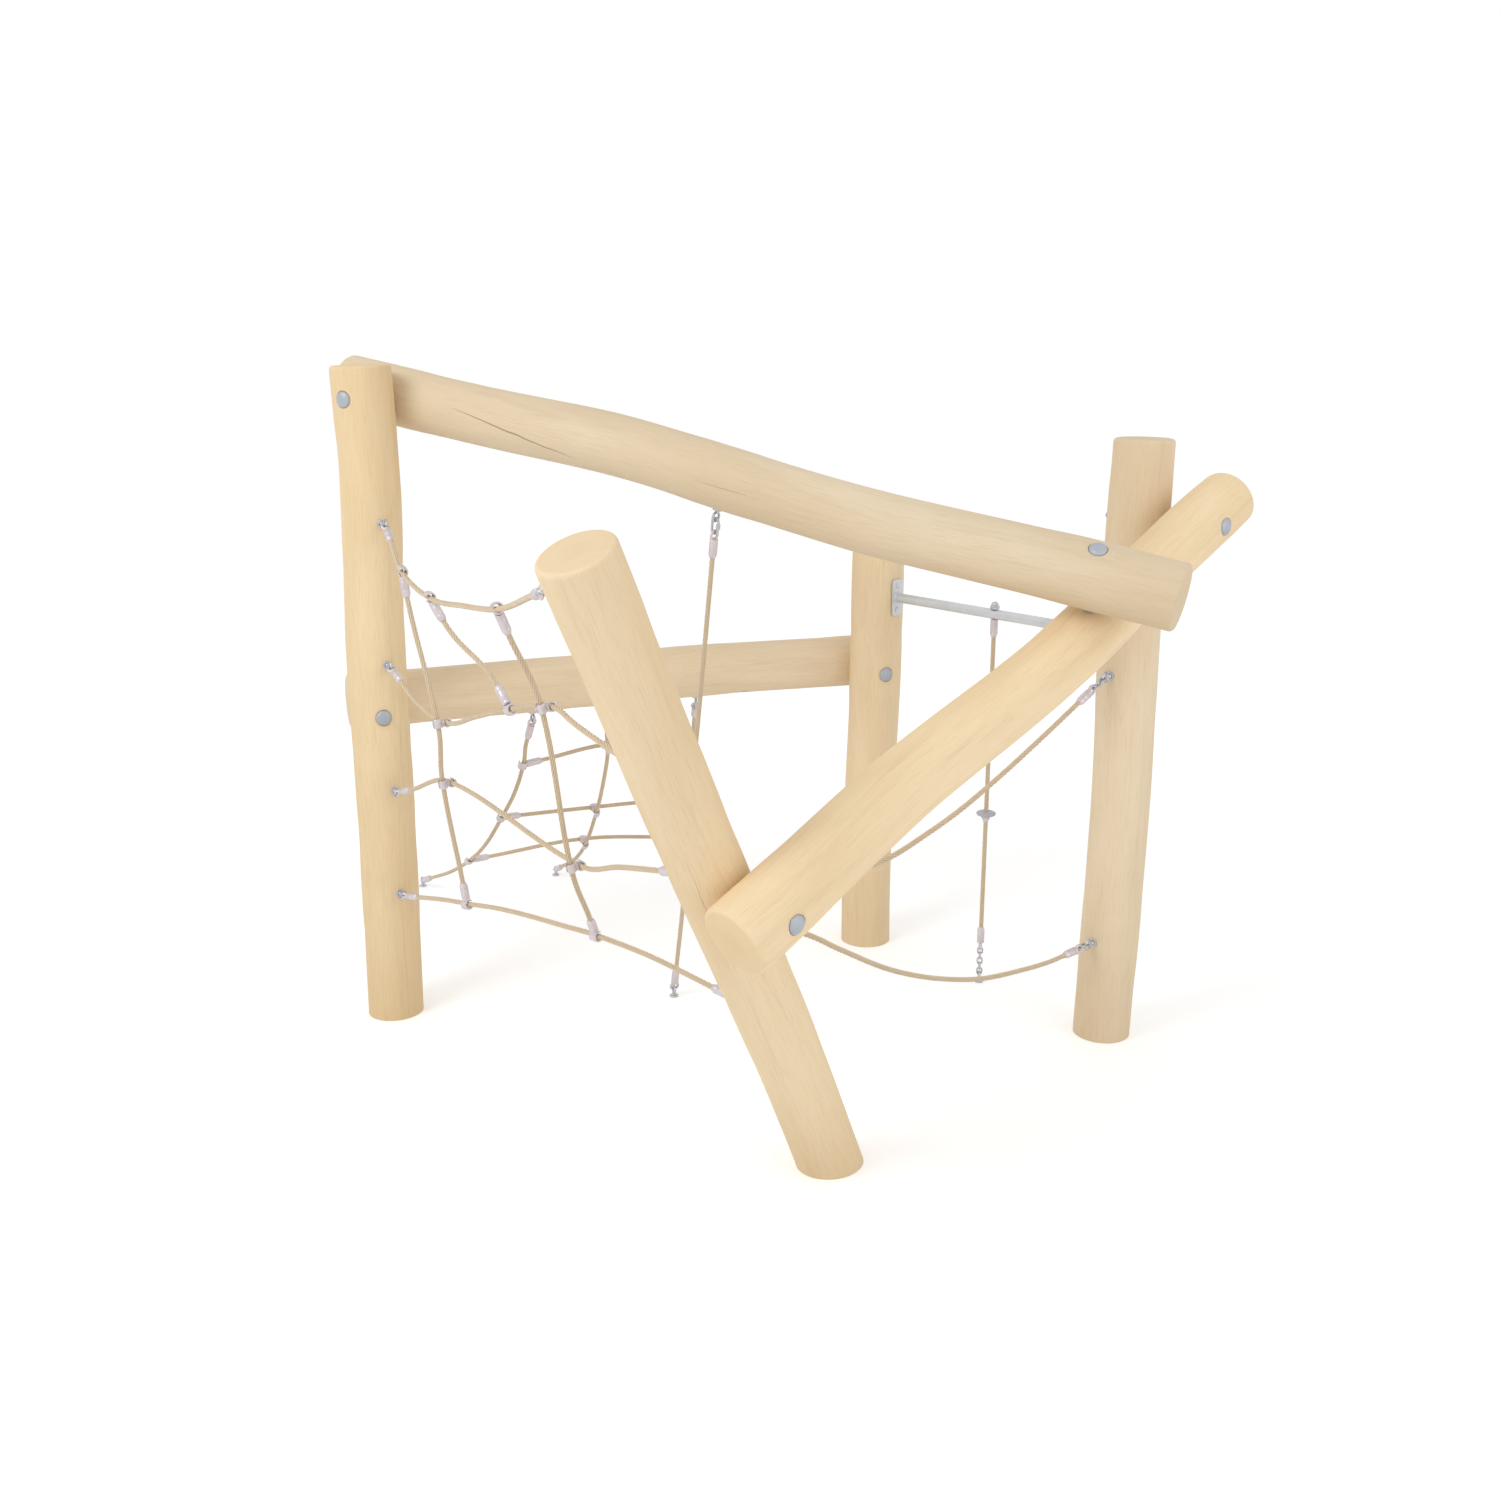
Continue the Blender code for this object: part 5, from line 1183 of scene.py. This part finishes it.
# The foot disc on its rope

discStock = {"radius": 0.034, "thick": 0.016, "height": 0.632, "collar": 0.0150, "collarLong": 0.022,
             "stud": 0.0060, "nut": 0.0162, "nutLong": 0.026}


class AtBar:
    # upper end of the disc rope: a stud through the bar on the end of the ferrule
    def end(self, piece, towards):
        d = discStock
        top = hanger + zAxis * (crossbar["radius"] + d["nutLong"] * 0.55)
        shoulder = (top - hanger).length + crossbar["radius"] + linkStock["gap"]
        piece.turned([(0, d["stud"]), (shoulder + 0.002, d["stud"])], top, -zAxis, 24)
        return addFerrule(piece, top - zAxis * shoulder, -zAxis)


def buildDiscRope():
    d = discStock
    centre = Vector((hanger.x, hanger.y, d["height"]))
    end = atLinks("disc_rope_chain", "anchor_disc", centre, 5)
    under = centre - zAxis * (d["thick"] / 2 + linkStock["gap"])
    laid = layRope("disc_rope", AtBar(), end, [under + zAxis * 0.3, under - zAxis * 0.2])
    stop = Piece("disc_stop")
    collar, long = d["collar"], d["collarLong"]
    stop.turned([(0, collar * 0.95), (0.001, collar), (long * 0.35, collar), (long * 0.5, collar * 0.88),
                 (long * 0.92, ropeStock["radius"] * 1.15), (long, ropeStock["radius"] * 1.02)],
                under, -zAxis, 36)
    stopper = stop.build(finishes["cast"], added=True)
    nut = Piece("stud_nut")
    seat = hanger + zAxis * (crossbar["radius"] + linkStock["gap"])
    hexNut(nut, seat, zAxis, d["nut"], d["nutLong"] * 0.45)
    dome = [(0.40, 0.80)]
    dome += [(0.45 + 0.54 * sin(pi / 2 * k / 8), 0.80 * cos(pi / 2 * k / 8.6)) for k in range(9)]
    nut.turned(dome, seat, zAxis, 36, d["nutLong"], d["nut"])
    nut.build(finishes["eye"])
    disc = Piece("foot_disc")
    shape = [(0.30, 0.98), (0.62, 0.90), (0.86, 0.76), (1, 0.62), (1, bore / d["radius"])]
    section = [(-up, out) for up, out in shape[::-1]] + [(0, 1)] + shape
    disc.turned(section, centre, zAxis, 64, d["thick"] / 2, d["radius"], hollow=True)
    disc.build(finishes["disc"], "disc", "disc_plastic")
    declareRope(laid, "taut", stopper)


# The two nets

netOut = Vector((-0.63, -0.78, 0)).normalized()
rearOut = Vector((-0.30, 0.55, 0.78)).normalized()


def buildNearNet():
    rows = {
        "top": [Held((-1.086, -0.179, 1.556)), Held((-0.957, -0.417, 1.519)), (-0.814, -0.681, 1.543),
                Held((-0.683, -0.922, 1.577))],
        "row_1": [(-1.080, -0.135, 1.154), Held((-0.969, -0.289, 1.121), netOut), (-0.835, -0.473, 1.186),
                  Held((-0.705, -0.652, 1.254)), Held((-0.584, -0.820, 1.300), netOut),
                  (-0.495, -0.943, 1.286)],
        "row_2": [Held((-0.974, -0.241, 0.920), netOut), Held((-0.528, -0.764, 0.840), netOut),
                  (-0.391, -0.925, 0.895)],
        "bottom": [(-1.021, -0.142, 0.503), Held((-0.936, -0.219, 0.520)), (-0.815, -0.330, 0.546),
                   (-0.709, -0.426, 0.560), (-0.592, -0.533, 0.571), Held((-0.492, -0.624, 0.580)),
                   (-0.328, -0.773, 0.579)],
    }
    columns = [            # the rope it starts on, the rope it ends on, and those that it crosses
        (("top", (-1.086, -0.179, 1.556)), ("bottom", (-0.936, -0.219, 0.519)),
         ("row_1", (-0.969, -0.289, 1.121)), ("row_2", (-0.974, -0.241, 0.920))),
        (("top", (-0.957, -0.417, 1.513)), ("row_1", (-0.705, -0.652, 1.254))),
        (("top", (-0.683, -0.922, 1.577)), ("bottom", (-0.492, -0.624, 0.574)),
         ("row_1", (-0.584, -0.820, 1.300)), ("row_2", (-0.528, -0.764, 0.840))),
    ]
    near = {}
    for k, (name, points) in enumerate(rows.items(), 1):
        near[name] = layRope("net_" + name, atEye("eye_left_%d" % k), atEye("eye_front_%d" % k), points)[0]
    for k, (start, finish, *crossings) in enumerate(columns, 1):
        ends = [AtRope(near[row], spot) for row, spot in (start, finish)]
        layRope("net_column_%d" % k, *ends, [Crossing(near[row], spot, netOut) for row, spot in crossings])


def buildRearNet():
    via = [
        [(-0.845, 0.523, 0.834), Held((-0.859, 0.535, 0.757)), (-0.898, 0.585, 0.647),
         Held((-0.969, 0.684, 0.512)), (-1.052, 0.800, 0.371), Held((-1.147, 0.948, 0.250)),
         (-1.260, 1.104, 0.144)],
        [(-0.570, 0.656, 0.844), Held((-0.574, 0.684, 0.781), rearOut), (-0.593, 0.740, 0.645),
         Held((-0.642, 0.858, 0.484), rearOut), Held((-0.707, 1.021, 0.300), rearOut),
         (-0.776, 1.210, 0.155)],
        [(-0.259, 0.780, 0.853), Held((-0.262, 0.819, 0.780)), (-0.269, 0.900, 0.645),
         Held((-0.281, 1.008, 0.490)), Held((-0.296, 1.165, 0.275)), (-0.314, 1.335, 0.160)],
    ]
    columns = [layRope("rear_net_column_%d" % k, atEye("eye_rear_%d" % k), atEye("anchor_rear_%d" % k),
                       points)[0] for k, points in enumerate(via, 1)]
    held = [[item.place for item in points if isinstance(item, Held)] for points in via]
    for k, (left, middle, right) in enumerate(zip(*held), 1):
        layRope("rear_net_row_%d" % k, AtRope(columns[0], left), AtRope(columns[2], right),
                [Crossing(columns[1], middle, rearOut)])


def buildLogs():
    made = {}
    for number, (name, log) in enumerate(logs.items(), 1):
        made[name] = log.build(woodFinish(name, number, log.post))
    seats = {"rearBeam": ("left", "rear"), "topBeam": ("left",), "diagonal": ("front",)}
    for name, log in logs.items():
        # every log has a spot face at least; a log that lies on others is scooped to fit them too
        spots = Piece("spots")
        for seat, out, radius in log.tools:
            spots.turned([(0, radius), (logStock["spotLong"], radius)], seat, out)
        tool = addObject("spots", spots.mesh())
        carve(made[name], [made[post] for post in seats.get(name, ())] + [tool])
        bpy.data.objects.remove(tool)


buildSlackRopes()
buildMiddleRope()
buildDiscRope()
print("hanging ropes ready")
buildNearNet()
buildRearNet()
print("nets ready")
for bolt in bolts:
    bolt.build()
for eye in eyes.values():
    eye.build()
buildCrossbar()
print("steel ready")
buildLogs()
print("logs ready")
